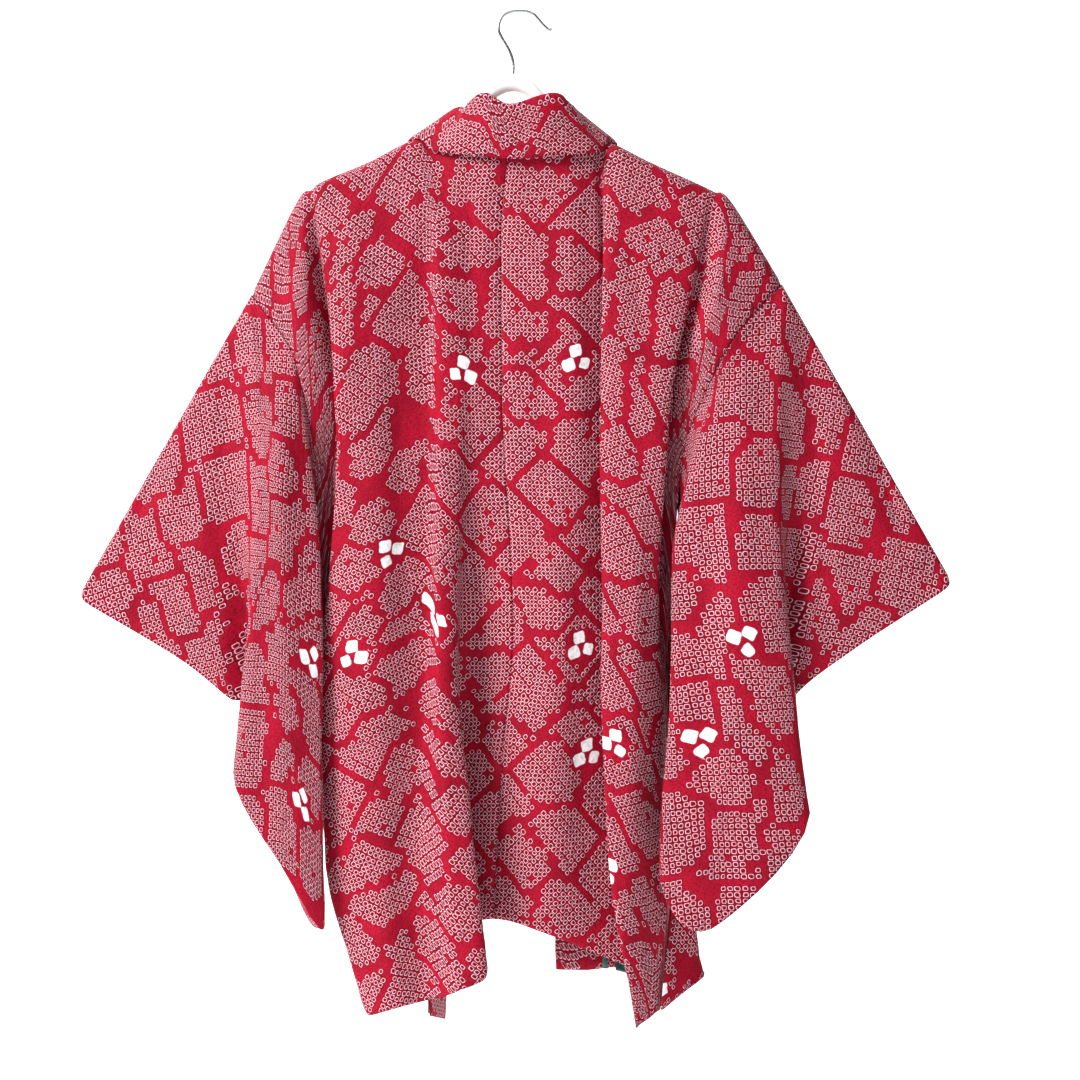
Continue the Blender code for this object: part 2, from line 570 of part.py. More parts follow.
def make_hanger():
    """Moulded arms with a hump at the middle, as one loft of oval sections."""
    mirrored = [section._replace(along=-section.along) for section in HANGER_SECTIONS[:0:-1]]
    bm = bmesh.new()
    rings = []
    for section in mirrored + list(HANGER_SECTIONS):
        ring = bmesh.ops.create_circle(bm, segments=HANGER_SIDES, radius=1)["verts"]
        for vert in ring:
            vert.co = Vector((HANGER_MIDDLE + section.along,
                              vert.co.x * section.half_depth,
                              section.top + (vert.co.y - 1) * section.height / 2)) * CM
        rings.append(ring)
    for ring, following in zip(rings, rings[1:]):
        edges = {e for vert in ring + following for e in vert.link_edges
                 if e.other_vert(vert) in ring or e.other_vert(vert) in following}
        edges = [e for e in edges if (e.verts[0] in ring) == (e.verts[1] in ring)]
        bmesh.ops.bridge_loops(bm, edges=edges)
    bmesh.ops.contextual_create(bm, geom=rings[0])
    bmesh.ops.contextual_create(bm, geom=rings[-1])
    bmesh.ops.recalc_face_normals(bm, faces=bm.faces)
    mesh = bpy.data.meshes.new("hanger_body")
    bm.to_mesh(mesh)
    bm.free()
    mesh.shade_smooth()
    add_object("hanger_body", mesh, make_material("hanger_white", WHITE_PLASTIC, 0.35))


def make_hook():
    """Bent wire, a curve read smoothly through its bends."""
    bends = [Vector((x, 0, z)) for x, z in HOOK_BENDS]
    marks = [0.0]
    for before, after in zip(bends, bends[1:]):
        marks.append(marks[-1] + (after - before).length)
    count = round(marks[-1] / HOOK_STEP)
    curve = bpy.data.curves.new("hanger_hook", "CURVE")
    curve.dimensions = "3D"
    curve.bevel_depth = HOOK_WIRE_RADIUS * CM
    curve.bevel_resolution = 2
    curve.use_fill_caps = True
    spline = curve.splines.new("POLY")
    spline.points.add(count)
    for i, point in enumerate(spline.points):
        place = smooth(marks, bends, marks[-1] * i / count) * CM
        point.co = (*place, 1)
    add_object("hanger_hook", curve, make_material("hook_steel", STEEL, 0.15, 1.0))


def main():
    for obj in list(bpy.data.objects):
        bpy.data.objects.remove(obj)
    collection = bpy.data.collections.new(COLLECTION)
    bpy.context.scene.collection.children.link(collection)
    for side in SIGNS:
        make_panel(side)
        make_gusset(side)
        make_sleeve(side)
    make_collar()
    make_hanger()
    make_hook()


main()
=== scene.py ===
# Looks of a haori on a hanger, seen from the back. Tables are in centimetres, as in the CAD source
import math
from bisect import bisect_right
from collections import namedtuple
from functools import lru_cache, partial

import bmesh
import bpy
import numpy as np
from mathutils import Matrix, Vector, noise


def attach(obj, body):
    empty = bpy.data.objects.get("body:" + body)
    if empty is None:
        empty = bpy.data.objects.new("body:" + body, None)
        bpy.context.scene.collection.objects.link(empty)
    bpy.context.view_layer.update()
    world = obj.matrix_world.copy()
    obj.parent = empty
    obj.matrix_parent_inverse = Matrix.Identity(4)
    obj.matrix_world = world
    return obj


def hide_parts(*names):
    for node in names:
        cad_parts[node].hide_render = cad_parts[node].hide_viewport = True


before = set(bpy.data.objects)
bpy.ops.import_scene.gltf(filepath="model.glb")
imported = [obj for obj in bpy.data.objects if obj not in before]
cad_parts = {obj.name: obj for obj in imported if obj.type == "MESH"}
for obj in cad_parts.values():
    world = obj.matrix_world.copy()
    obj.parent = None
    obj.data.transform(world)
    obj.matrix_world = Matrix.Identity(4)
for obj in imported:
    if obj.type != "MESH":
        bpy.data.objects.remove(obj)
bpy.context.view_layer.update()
cm = 0.01
sides = {"right": 1, "left": -1}
print("frame loaded:", ", ".join(sorted(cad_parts)))


def addObject(name, data):
    added = bpy.data.objects.new(name, data)
    bpy.context.scene.collection.objects.link(added)
    return added


def addMesh(name, bm, *materials):
    mesh = bpy.data.meshes.new(name)
    bm.to_mesh(mesh)
    bm.free()
    mesh.shade_smooth()
    for material in materials:
        mesh.materials.append(material)
    return addObject(name, mesh)


# Node helpers: a source is another socket or a fixed value
def feed(tree, socket, source):
    if isinstance(source, bpy.types.NodeSocket):
        tree.links.new(socket, source)
    elif source is not None:
        socket.default_value = source


def addNode(tree, kind, *sources, **named):
    node = tree.nodes.new("ShaderNode" + kind)
    for socket, source in zip(node.inputs, sources):
        feed(tree, socket, source)
    for label, source in named.items():
        feed(tree, node.inputs[label], source)
    return node


def calc(tree, operation, *sources):
    node = addNode(tree, "Math", *sources)
    node.operation = operation
    return node.outputs[0]


def calcVector(tree, operation, *sources, output=0):
    node = addNode(tree, "VectorMath", *sources)
    node.operation = operation
    return node.outputs[output]


def ramp(tree, value, low, high):  # 0 at low and 1 at high
    node = tree.nodes.new("ShaderNodeMapRange")
    node.interpolation_type = "SMOOTHSTEP"
    for label, source in (("Value", value), ("From Min", low), ("From Max", high)):
        feed(tree, node.inputs[label], source)
    return node.outputs["Result"]


def mixColour(tree, share, first, second):
    node = tree.nodes.new("ShaderNodeMix")
    node.data_type = "RGBA"
    for place, source in (("Factor", share), (6, first), (7, second)):
        feed(tree, node.inputs[place], source)
    return node.outputs[2]


def noiseOf(tree, vector, scale, detail, colour=False):
    node = addNode(tree, "TexNoise", Vector=vector, Scale=scale, Detail=detail)
    return node.outputs["Color"] if colour else node.outputs[0]


def turnAboutZ(tree, vector, angle):
    node = tree.nodes.new("ShaderNodeVectorRotate")
    node.rotation_type = "Z_AXIS"
    feed(tree, node.inputs["Vector"], vector)
    feed(tree, node.inputs["Angle"], angle)
    return node.outputs[0]


def shiftOf(tree, colour, spread):  # a random colour as a shift of up to half the spread each way
    centred = calcVector(tree, "SUBTRACT", colour, (0.5, 0.5, 0.5))
    return calcVector(tree, "MULTIPLY", centred, (spread, spread, 0))


def sizes(tree, vector):
    return addNode(tree, "SeparateXYZ", calcVector(tree, "ABSOLUTE", vector)).outputs


def squareReach(tree, vector, power):  # a distance whose rings lie between a circle and a square
    across, up = (calc(tree, "POWER", size, power) for size in sizes(tree, vector)[:2])
    return calc(tree, "POWER", calc(tree, "ADD", across, up), 1 / power)


def highest(tree, values):
    top = values[0]
    for value in values[1:]:
        top = calc(tree, "MAXIMUM", top, value)
    return top


def addBump(tree, height, distance, strength=1.0, normal=None):
    node = addNode(tree, "Bump", Height=height, Distance=distance, Strength=strength, Normal=normal)
    return node.outputs[0]


def cutPlaceOf(tree):  # the place on the flat cut
    node = tree.nodes.new("ShaderNodeUVMap")
    node.uv_map = "cut"
    return node.outputs["UV"]


def newMaterial(name, finish):
    material = bpy.data.materials.new(name)
    material.use_nodes = True
    shader = material.node_tree.nodes["Principled BSDF"]
    for label, value in finish.items():
        shader.inputs[label].default_value = value
    return material, material.node_tree, shader


def newGroup(name, inputs, outputs):
    tree = bpy.data.node_groups.new(name, "ShaderNodeTree")
    for way, sockets in (("INPUT", inputs), ("OUTPUT", outputs)):
        for label, kind in sockets.items():
            tree.interface.new_socket(label, in_out=way, socket_type="NodeSocket" + kind)
    return tree, tree.nodes.new("NodeGroupInput").outputs, tree.nodes.new("NodeGroupOutput").inputs


def useGroup(tree, group, **sources):
    node = tree.nodes.new("ShaderNodeGroup")
    node.node_tree = group
    for label, source in sources.items():
        feed(tree, node.inputs[label], source)
    return node.outputs


# Camera at the photograph's angle, level with the middle of the back
camera = {"place": (0.02, -2.2, -0.512), "fieldOfView": 26.8, "turn": (math.radians(90), 0, 0)}
cameraData = bpy.data.cameras.new("photoView")
cameraData.angle = math.radians(camera["fieldOfView"])
cameraObject = addObject("photoView", cameraData)
cameraObject.location = camera["place"]
cameraObject.rotation_euler = camera["turn"]
bpy.context.scene.camera = cameraObject
bpy.context.scene.view_settings.view_transform = "Standard"

# Soft studio light: a large window-like light from the upper left, two weak ones, and one for the backdrop
studio = {
    "lights": (
        ("leftWindow", (-3.9, -2.8, 2.3), 2.2, 490),
        ("rightFill", (2.6, -2.6, 0.2), 1.8, 7),
        ("frontTop", (-0.5, -1.5, 1.6), 1.2, 7),
        ("backdropWash", (0.0, 0.35, 1.9), 2.0, 26),
    ),
    "lookAt": (0, 0, -0.5),
    "worldStrength": 0.13,
    "worldSeen": 1.0,
    "floorFinish": {"Base Color": (0.93, 0.93, 0.93, 1), "Roughness": 0.9,
                    "Emission Color": (1, 1, 1, 1), "Emission Strength": 0.42},
    "floorHeight": -1.32,
    "floorFront": 3.5,
    "halfWidth": 4.0,
    "sweepStart": 0.9,
    "sweepRadius": 0.9,
    "sweepSegments": 48,
    "wallTop": 2.4,
}


def lightStudio():
    for name, place, size, power in studio["lights"]:
        data = bpy.data.lights.new(name, "AREA")
        data.size = size
        data.energy = power
        light = addObject(name, data)
        light.location = place
        toward = Vector(studio["lookAt"]) - Vector(place)
        light.rotation_euler = toward.to_track_quat("-Z", "Y").to_euler()
    world = bpy.data.worlds.new("studio")
    world.use_nodes = True
    tree = world.node_tree
    background = tree.nodes["Background"]
    background.inputs["Color"].default_value = (1, 1, 1, 1)
    # Seen straight on, the surroundings are white; as a light they are weak
    strength = tree.nodes.new("ShaderNodeMapRange")
    feed(tree, strength.inputs["Value"], tree.nodes.new("ShaderNodeLightPath").outputs["Is Camera Ray"])
    strength.inputs["To Min"].default_value = studio["worldStrength"]
    strength.inputs["To Max"].default_value = studio["worldSeen"]
    feed(tree, background.inputs["Strength"], strength.outputs["Result"])
    bpy.context.scene.world = world


def makeBackdrop():  # a floor that sweeps up into a wall
    bm = bmesh.new()
    grid = bmesh.ops.create_grid(bm, x_segments=1, y_segments=studio["sweepSegments"], size=1, calc_uvs=True)
    radius = studio["sweepRadius"]
    floorRun = studio["floorFront"] + studio["sweepStart"]
    arc = radius * math.pi / 2
    rise = studio["wallTop"] - studio["floorHeight"] - radius
    for vert in grid["verts"]:
        along = (vert.co.y + 1) / 2 * (floorRun + arc + rise)
        bend = min(max(along - floorRun, 0), arc) / radius
        y = min(along, floorRun) - studio["floorFront"] + math.sin(bend) * radius
        z = studio["floorHeight"] + (1 - math.cos(bend)) * radius + max(along - floorRun - arc, 0)
        vert.co = (vert.co.x * studio["halfWidth"], y, z)
    material, tree, shader = newMaterial("paleFloor", studio["floorFinish"])
    # The sweep is clear from its far side, so the front of the garment can be seen
    seenFrom = tree.nodes.new("ShaderNodeNewGeometry").outputs["Backfacing"]
    clear = tree.nodes.new("ShaderNodeBsdfTransparent").outputs[0]
    oneWay = addNode(tree, "MixShader", seenFrom, shader.outputs[0], clear)
    feed(tree, tree.nodes["Material Output"].inputs["Surface"], oneWay.outputs[0])
    addMesh("paleFloor", bm, material)


lightStudio()
makeBackdrop()
print("camera, lights and floor are set")

# Tie-dyed rings: each is one tied point of silk, on a grid at 45 degrees to the grain. The pitch is in
# metres, and the other sizes are in cells
rings = {
    "pitch": 0.0056,
    "turn": math.radians(45),
    "wander": 0.9,
    "wanderScale": 0.13,
    "jitter": 0.16,
    "radius": 0.335,
    "sizeSpread": 0.08,
    "line": (0.066, 0.0),
    "dot": (0.19, 0.08),
    "between": (0.40, 0.5),
    "squareness": 3.2,
    "pull": 0.16,
    "pullScale": 1.9,
    "block": 9.2,
    "blockLong": 0.8,
    "blockRandom": 0.9,
    "band": 0.10,
    "bandSpread": 0.24,
    "bandChange": 0.21,
    "missed": 0.02,
    "lone": 0.02,
    "seedSlant": 1.7,
}


def makeCellsGroup():  # the grid of tied points: place inside a cell, its number and its spot on the cut
    tree, given, result = newGroup("tiedCells", {"Cut": "Vector", "Seed": "Float"},
                                   {"Local": "Vector", "Centre": "Vector", "Spot": "Vector"})
    pitch = rings["pitch"]
    turned = turnAboutZ(tree, given["Cut"], rings["turn"])
    slanted = calc(tree, "MULTIPLY", given["Seed"], rings["seedSlant"])
    seedShift = addNode(tree, "CombineXYZ", given["Seed"], slanted)
    cells = calcVector(tree, "MULTIPLY", turned, (1 / pitch, 1 / pitch, 0))
    cells = calcVector(tree, "ADD", cells, seedShift.outputs[0])
    # Hand-tied rows wander a little
    sway = shiftOf(tree, noiseOf(tree, cells, rings["wanderScale"], 1.0, colour=True), rings["wander"])
    cells = calcVector(tree, "MULTIPLY", calcVector(tree, "ADD", cells, sway), (1, 1, 0))
    centre = calcVector(tree, "ADD", calcVector(tree, "FLOOR", cells), (0.5, 0.5, 0))
    local = calcVector(tree, "SUBTRACT", cells, centre)
    back = turnAboutZ(tree, calcVector(tree, "MULTIPLY", local, (pitch, pitch, 0)), -rings["turn"])
    feed(tree, result["Local"], local)
    feed(tree, result["Centre"], centre)
    feed(tree, result["Spot"], calcVector(tree, "SUBTRACT", given["Cut"], back))
    return tree


def makeRingsGroup():
    tree, given, result = newGroup(
        "tiedRings", {"Local": "Vector", "Centre": "Vector", "Keep": "Float"},
        {"Ring": "Float", "Dot": "Float", "Block": "Float", "Height": "Float", "Between": "Float"})
    centre = given["Centre"]
    chance = addNode(tree, "TexWhiteNoise", Vector=centre).outputs
    # A ring is pulled out of shape by its knot
    offset = shiftOf(tree, chance["Color"], rings["jitter"])
    knot = calcVector(tree, "ADD", centre, given["Local"])
    pull = shiftOf(tree, noiseOf(tree, knot, rings["pullScale"], 0.0, colour=True), rings["pull"])
    local = calcVector(tree, "ADD", calcVector(tree, "ADD", given["Local"], offset), pull)
    reach = squareReach(tree, local, rings["squareness"])
    size = calc(tree, "MULTIPLY_ADD", chance["Value"], rings["sizeSpread"],
                rings["radius"] - rings["sizeSpread"] / 2)
    line = ramp(tree, calc(tree, "ABSOLUTE", calc(tree, "SUBTRACT", reach, size)), *rings["line"])
    dot = ramp(tree, reach, *rings["dot"])
    fromMiddle = sizes(tree, given["Local"])
    between = ramp(tree, calc(tree, "MAXIMUM", fromMiddle[0], fromMiddle[1]), *rings["between"])
    # Blocks of rings between plain bands, stepped along the cells, some run into the next
    distances = []
    for feature in ("F1", "F2"):
        block = tree.nodes.new("ShaderNodeTexVoronoi")
        block.voronoi_dimensions = "2D"
        block.feature = feature
        block.distance = "CHEBYCHEV"
        feed(tree, block.inputs["Vector"], calcVector(tree, "MULTIPLY", centre, (1.0, rings["blockLong"], 0)))
        block.inputs["Scale"].default_value = 1 / rings["block"]
        block.inputs["Randomness"].default_value = rings["blockRandom"]
        distances.append(block.outputs["Distance"])
    band = calc(tree, "MULTIPLY_ADD", noiseOf(tree, centre, rings["bandChange"], 1.0),
                rings["bandSpread"], rings["band"] - rings["bandSpread"] / 2)
    inBlock = calc(tree, "GREATER_THAN", calc(tree, "SUBTRACT", distances[1], distances[0]), band)
    tied = calc(tree, "GREATER_THAN", chance["Value"], rings["missed"])
    lone = calc(tree, "GREATER_THAN", chance["Value"], 1 - rings["lone"])
    inBlock = calc(tree, "MAXIMUM", calc(tree, "MULTIPLY", inBlock, tied), lone)
    inBlock = calc(tree, "MULTIPLY", inBlock, given["Keep"])
    cone = calc(tree, "SUBTRACT", 1.0, calc(tree, "MINIMUM", calc(tree, "DIVIDE", reach, 0.5), 1.0))
    for label, mask in (("Ring", line), ("Dot", dot), ("Between", between), ("Height", cone)):
        feed(tree, result[label], calc(tree, "MULTIPLY", mask, inBlock))
    feed(tree, result["Block"], inBlock)
    return tree


# Three undyed rounded squares, close together in a plain patch. Sizes are in millimetres, but for the
# clear patch and the ragged edge in metres; each square has its place, width, height and tilt
trio = {
    "squares": ((0.1, 1.0, 1.0, 0.95, 12), (-0.95, -0.45, 0.85, 0.9, -10), (0.9, -0.55, 1.05, 1.0, 20)),
    "edge": (6.3, 5.7),
    "roundness": 4.5,
    "spread": 8.6,
    "clear": 0.0180,
    "ragged": 0.0036,
    "raggedScale": 120,
}


def makeTrioGroup():
    tree, given, result = newGroup(
        "undyedTrio", {"Cut": "Vector", "Spot": "Vector", "Place": "Vector", "Turn": "Float"},
        {"White": "Float", "Near": "Float"})
    away = calcVector(tree, "SUBTRACT", given["Cut"], given["Place"])
    ragged = noiseOf(tree, given["Cut"], trio["raggedScale"], 2.0, colour=True)
    away = calcVector(tree, "ADD", away, shiftOf(tree, ragged, trio["ragged"]))
    turned = turnAboutZ(tree, calcVector(tree, "MULTIPLY", away, (1000, 1000, 0)), given["Turn"])
    whites = []
    for x, y, wide, high, tilt in trio["squares"]:
        own = calcVector(tree, "SUBTRACT", turned, (x * trio["spread"], y * trio["spread"], 0))
        own = turnAboutZ(tree, own, calc(tree, "SUBTRACT", math.radians(tilt), given["Turn"]))
        own = calcVector(tree, "MULTIPLY", own, (1 / wide, 1 / high, 0))
        whites.append(ramp(tree, squareReach(tree, own, trio["roundness"]), *trio["edge"]))
    feed(tree, result["White"], highest(tree, whites))
    distance = calcVector(tree, "DISTANCE", given["Spot"], given["Place"], output=1)
    feed(tree, result["Near"], calc(tree, "LESS_THAN", distance, trio["clear"]))
    return tree


# Silk: crimson ground, pale rings, white squares, crepe grain and a soft sheen. A noise has its scale and
# detail, a shade the noise's values where it starts and where it is full, and a relief its depth in metres
# and its strength
silk = {
    "crimson": (0.38, 0.004, 0.024, 1),
    "deep": (0.10, 0.001, 0.006, 1),
    "pale": (1.0, 0.73, 0.84, 1),
    "white": (0.86, 0.84, 0.86, 1),
    "whiteShade": (0.60, 0.62, 0.63, 1),
    "finish": {"Roughness": 0.66, "Sheen Weight": 0.03, "Sheen Roughness": 0.4,
               "Sheen Tint": (1.0, 0.75, 0.8, 1), "Specular IOR Level": 0.08},
    "noises": {"mottle": (28.0, 3.0), "grain": (520.0, 3.0), "crinkle": (190.0, 2.0)},
    "shades": {"mottle": (0.35, 0.75), "grain": (0.42, 0.68), "crinkle": (0.48, 0.72)},
    "deepShares": {"mottle": 0.42, "grain": 0.6, "Block": 0.24, "Dot": 0.8, "Between": 0.9},
    "paleShare": 0.92,
    "ringRelief": (0.0013, 0.7),
    "crinkleRelief": (0.0013, 0.6),
    "grainRelief": (0.0006, 0.6),
}
cellsGroup = makeCellsGroup()
ringsGroup = makeRingsGroup()
trioGroup = makeTrioGroup()


def makeSilk(name, seed, trios=()):
    material, tree, shader = newMaterial(name, silk["finish"])
    cut = cutPlaceOf(tree)
    cell = useGroup(tree, cellsGroup, Cut=cut, Seed=seed)
    undyed = [useGroup(tree, trioGroup, Cut=cut, Spot=cell["Spot"], Place=(u, v, 0.0), Turn=turn)
              for u, v, turn in trios]
    keep = 1.0
    if undyed:
        keep = calc(tree, "SUBTRACT", 1.0, highest(tree, [group["Near"] for group in undyed]))
    ring = useGroup(tree, ringsGroup, Local=cell["Local"], Centre=cell["Centre"], Keep=keep)
    noises = {label: noiseOf(tree, cut, *values) for label, values in silk["noises"].items()}
    masks = {label: ramp(tree, noises[label], *ends) for label, ends in silk["shades"].items()}
    masks.update(ring.items())
    colour = silk["crimson"]
    for label, share in silk["deepShares"].items():
        colour = mixColour(tree, calc(tree, "MULTIPLY", masks[label], share), colour, silk["deep"])
    colour = mixColour(tree, calc(tree, "MULTIPLY", ring["Ring"], silk["paleShare"]), colour, silk["pale"])
    if undyed:
        white = mixColour(tree, masks["crinkle"], silk["white"], silk["whiteShade"])
        colour = mixColour(tree, highest(tree, [group["White"] for group in undyed]), colour, white)
    normal = addBump(tree, ring["Height"], *silk["ringRelief"])
    normal = addBump(tree, noises["crinkle"], *silk["crinkleRelief"], normal)
    normal = addBump(tree, noises["grain"], *silk["grainRelief"], normal)
    feed(tree, shader.inputs["Base Color"], colour)
    feed(tree, shader.inputs["Normal"], normal)
    return material


# The inner face of the cloth
liningCloth = {"dark": (0.008, 0.075, 0.070, 1), "light": (0.014, 0.11, 0.10, 1), "cloud": (22.0, 2.0),
               "shade": (0.3, 0.7), "weave": (1100.0, 1.0), "relief": 0.0001, "finish": {"Roughness": 0.45}}


def makeLining():
    material, tree, shader = newMaterial("lining", liningCloth["finish"])
    cut = cutPlaceOf(tree)
    cloud = ramp(tree, noiseOf(tree, cut, *liningCloth["cloud"]), *liningCloth["shade"])
    feed(tree, shader.inputs["Base Color"], mixColour(tree, cloud, liningCloth["dark"], liningCloth["light"]))
    weave = noiseOf(tree, cut, *liningCloth["weave"])
    feed(tree, shader.inputs["Normal"], addBump(tree, weave, liningCloth["relief"]))
    return material


lining = makeLining()
print("silk and lining materials are ready")

# The drape: fold lines hung from the shoulders, the same lines as the solids'
drape = {
    "backLength": 76.0,
    "levels": (0.0, 0.11, 0.30, 0.62, 0.80, 1.0),
    "dropLevels": (0.0, 0.30, 1.0),
    "neckStation": 4,
    "neckCorner": 3,
    "sideStation": 9,
    "shoulderRound": 1.3,
    "stationStep": 0.5,
    "downStep": 0.3,
    "downStepGrowth": 0.03,
}
foldLine = namedtuple("foldLine", "name z x y")


def rowsOf(kind, *rows):
    return tuple(kind(*row) for row in rows)


rightBack = rowsOf(
    foldLine,
    ("centre seam", (-13.6, -35.9, -87.9),
     (-1.0, -1.7, -1.65, -0.6, -1.75, -2.6), (-2.7, -2.0, -2.0, -1.5, -1.0, -0.8)),
    ("centre ridge", (-13.7, -36.2, -89.0),
     (3.2, 3.2, 3.2, 3.6, 3.2, 2.4), (-2.6, -2.3, -2.4, -2.5, -2.4, -2.2)),
    ("centre slope", (-13.4, -37.2, -92.2),
     (6.6, 7.2, 7.6, 7.75, 8.25, 9.7), (-2.0, -1.8, -1.5, -1.2, -0.6, -0.4)),
    ("long valley", (-13.1, -37.8, -94.5),
     (7.8, 8.1, 9.4, 11.2, 12.6, 15.2), (-1.2, -1.2, -0.6, 0.3, 0.6, 0.6)),
    ("long crest", (-12.7, -38.4, -97.3),
     (9.0, 8.4, 7.8, 7.9, 8.5, 11.2), (-1.5, -2.2, -2.8, -3.8, -4.4, -5.0)),
    ("outer face", (-14.5, -39.4, -96.9),
     (12.6, 12.2, 11.3, 11.0, 11.0, 12.0), (-1.5, -2.4, -3.5, -4.1, -4.2, -4.9)),
    ("outer edge", (-16.8, -40.5, -96.6),
     (17.7, 16.5, 14.3, 13.2, 13.2, 12.5), (-1.5, -2.2, -3.1, -2.8, -2.6, -4.7)),
    ("arm channel", (-17.4, -42.0, -96.3),
     (18.9, 17.2, 11.6, 13.9, 14.0, 12.9), (-1.5, -1.0, -0.1, -1.9, -1.8, -4.5)),
    ("arm crest", (-18.4, -44.0, -96.1),
     (20.6, 18.8, 13.8, 14.1, 14.6, 13.2), (-1.3, -2.8, -0.9, -1.2, -1.0, -4.3)),
    ("side seam", (-26.4, -45.4, -95.9),
     (25.5, 19.8, 15.4, 14.5, 15.0, 13.5), (-1.0, -2.6, -1.6, -0.7, -0.3, -4.2)),
)
leftBack = rowsOf(
    foldLine,
    rightBack[0],
    ("centre slope", (-13.7, -36.3, -89.6),
     (-3.2, -4.2, -4.4, -5.2, -6.6, -7.6), (-2.6, -2.2, -2.2, -0.7, 0.1, 0.6)),
    ("inner crest", (-13.5, -37.0, -92.2),
     (-6.2, -6.0, -6.0, -6.1, -4.6, -2.9), (-2.0, -2.3, -2.8, -3.5, -4.4, -5.2)),
    ("inner face", (-13.2, -37.5, -93.9),
     (-8.2, -7.8, -7.6, -7.7, -7.0, -5.8), (-1.3, -2.3, -2.9, -4.1, -4.9, -5.7)),
    ("long fold", (-12.4, -38.0, -95.2),
     (-10.3, -9.3, -9.1, -9.2, -9.7, -8.8), (-1.5, -1.8, -2.0, -2.5, -2.7, -3.4)),
    ("outer face", (-14.5, -39.0, -95.8),
     (-14.6, -14.2, -13.9, -13.6, -13.6, -11.6), (-1.5, -2.6, -3.4, -3.9, -3.9, -4.2)),
    ("outer edge", (-16.3, -40.2, -96.8),
     (-18.9, -18.4, -17.5, -18.7, -18.5, -14.4), (-1.5, -2.3, -3.1, -2.4, -2.3, -2.8)),
    ("arm channel", (-17.2, -42.0, -96.5),
     (-20.1, -19.0, -14.8, -18.9, -18.6, -14.8), (-1.5, -1.0, -0.1, -1.2, -1.3, -1.6)),
    ("arm crest", (-18.4, -44.0, -96.2),
     (-21.6, -20.3, -17.2, -18.9, -18.4, -14.9), (-1.3, -2.8, -0.9, -0.3, -0.3, -0.3)),
    ("side seam", (-27.4, -45.6, -95.8),
     (-26.0, -21.6, -19.6, -19.0, -18.4, -14.6), (-1.0, -2.6, -1.6, 0.3, 0.6, 1.0)),
)
# A front fold line starts at the shoulder point of its back one
rightFront = rowsOf(
    foldLine,
    ("collar seam", (-37.5, -93.4), (9.3, 9.3, 9.2, 9.2, 9.2), (1.5, 2.0, 2.2, 2.2, 2.2, 2.4)),
    ("face", (-38.6, -94.2), (12.0, 11.4, 10.6, 10.6, 10.9), (1.5, 2.6, 3.6, 4.2, 4.6, 5.0)),
    ("crest", (-40.0, -94.4), (16.2, 14.2, 13.0, 13.4, 14.2), (1.5, 2.4, 3.2, 4.6, 5.0, 5.6)),
    ("channel", (-42.0, -94.2), (17.4, 12.0, 12.0, 12.4, 13.0), (1.5, 1.2, 1.0, 1.7, 1.8, 2.2)),
    ("arm crest", (-44.0, -93.5), (18.9, 14.0, 14.1, 15.4, 17.0), (1.3, 2.6, 1.3, 2.6, 2.8, 3.2)),
    ("side seam", (-45.4, -92.8), (19.8, 15.4, 14.1, 15.2, 17.5), (1.0, 2.4, 1.6, 1.0, 1.0, 0.8)),
)
leftFront = rowsOf(
    foldLine,
    ("collar seam", (-37.5, -96.5), (-10.0, -9.9, -9.2, -8.8, -8.4),
     (1.5, 2.0, 2.2, 2.4, 3.4, 4.6)),
    ("face", (-38.6, -96.4), (-13.2, -12.8, -12.0, -11.6, -9.8),
     (1.5, 2.6, 3.4, 4.0, 4.2, 5.0)),
    ("crest", (-40.0, -96.2), (-17.6, -16.8, -16.4, -15.8, -12.0),
     (1.5, 2.4, 3.2, 4.8, 5.4, 6.6)),
    ("channel", (-42.0, -95.9), (-19.2, -14.8, -14.2, -13.8, -11.6),
     (1.5, 1.2, 1.0, 1.9, 2.2, 4.4)),
    ("arm crest", (-44.0, -95.7), (-20.5, -17.4, -17.6, -17.2, -13.6),
     (1.3, 2.6, 1.2, 2.4, 2.6, 5.4)),
    ("side seam", (-45.6, -95.6), (-21.6, -19.6, -18.6, -18.0, -14.4),
     (1.0, 2.4, 1.6, 1.7, 2.0, 4.2)),
)


def smooth(knots, values, at, steady=False):  # a soft curve; a steady one never passes its values
    i = min(max(bisect_right(knots, at) - 1, 0), len(knots) - 2)

    def pitch(k):
        return (values[k + 1] - values[k]) * (1 / (knots[k + 1] - knots[k]))

    def slope(k):
        if k == 0:
            return pitch(0)
        if k == len(knots) - 1:
            return pitch(k - 1)
        if steady and pitch(k) * pitch(k - 1) <= 0:
            return 0
        if steady:
            return 2 / (1 / pitch(k) + 1 / pitch(k - 1))
        before = knots[k] - knots[k - 1]
        after = knots[k + 1] - knots[k]
        return (pitch(k) * before + pitch(k - 1) * after) * (1 / (before + after))

    span = knots[i + 1] - knots[i]
    t = (at - knots[i]) / span
    return (values[i] * (2 * t ** 3 - 3 * t ** 2 + 1)
            + slope(i) * (span * (t ** 3 - 2 * t ** 2 + t))
            + values[i + 1] * (3 * t ** 2 - 2 * t ** 3)
            + slope(i + 1) * (span * (t ** 3 - t ** 2)))


def rounded(distance, radius):
    left = 1 - min(distance / radius, 1)
    return math.sqrt(1 - left * left)


@lru_cache(maxsize=None)
def foldPoint(fold, level):
    return Vector((smooth(drape["levels"], fold.x, level, steady=True),
                   smooth(drape["levels"], fold.y, level, steady=True),
                   smooth(drape["dropLevels"], fold.z, level)))


def hungFromBack(back, front):
    return tuple(foldLine(low.name, (top.z[0],) + low.z, (top.x[0],) + low.x, low.y)
                 for top, low in zip(back[drape["neckStation"]:], front))


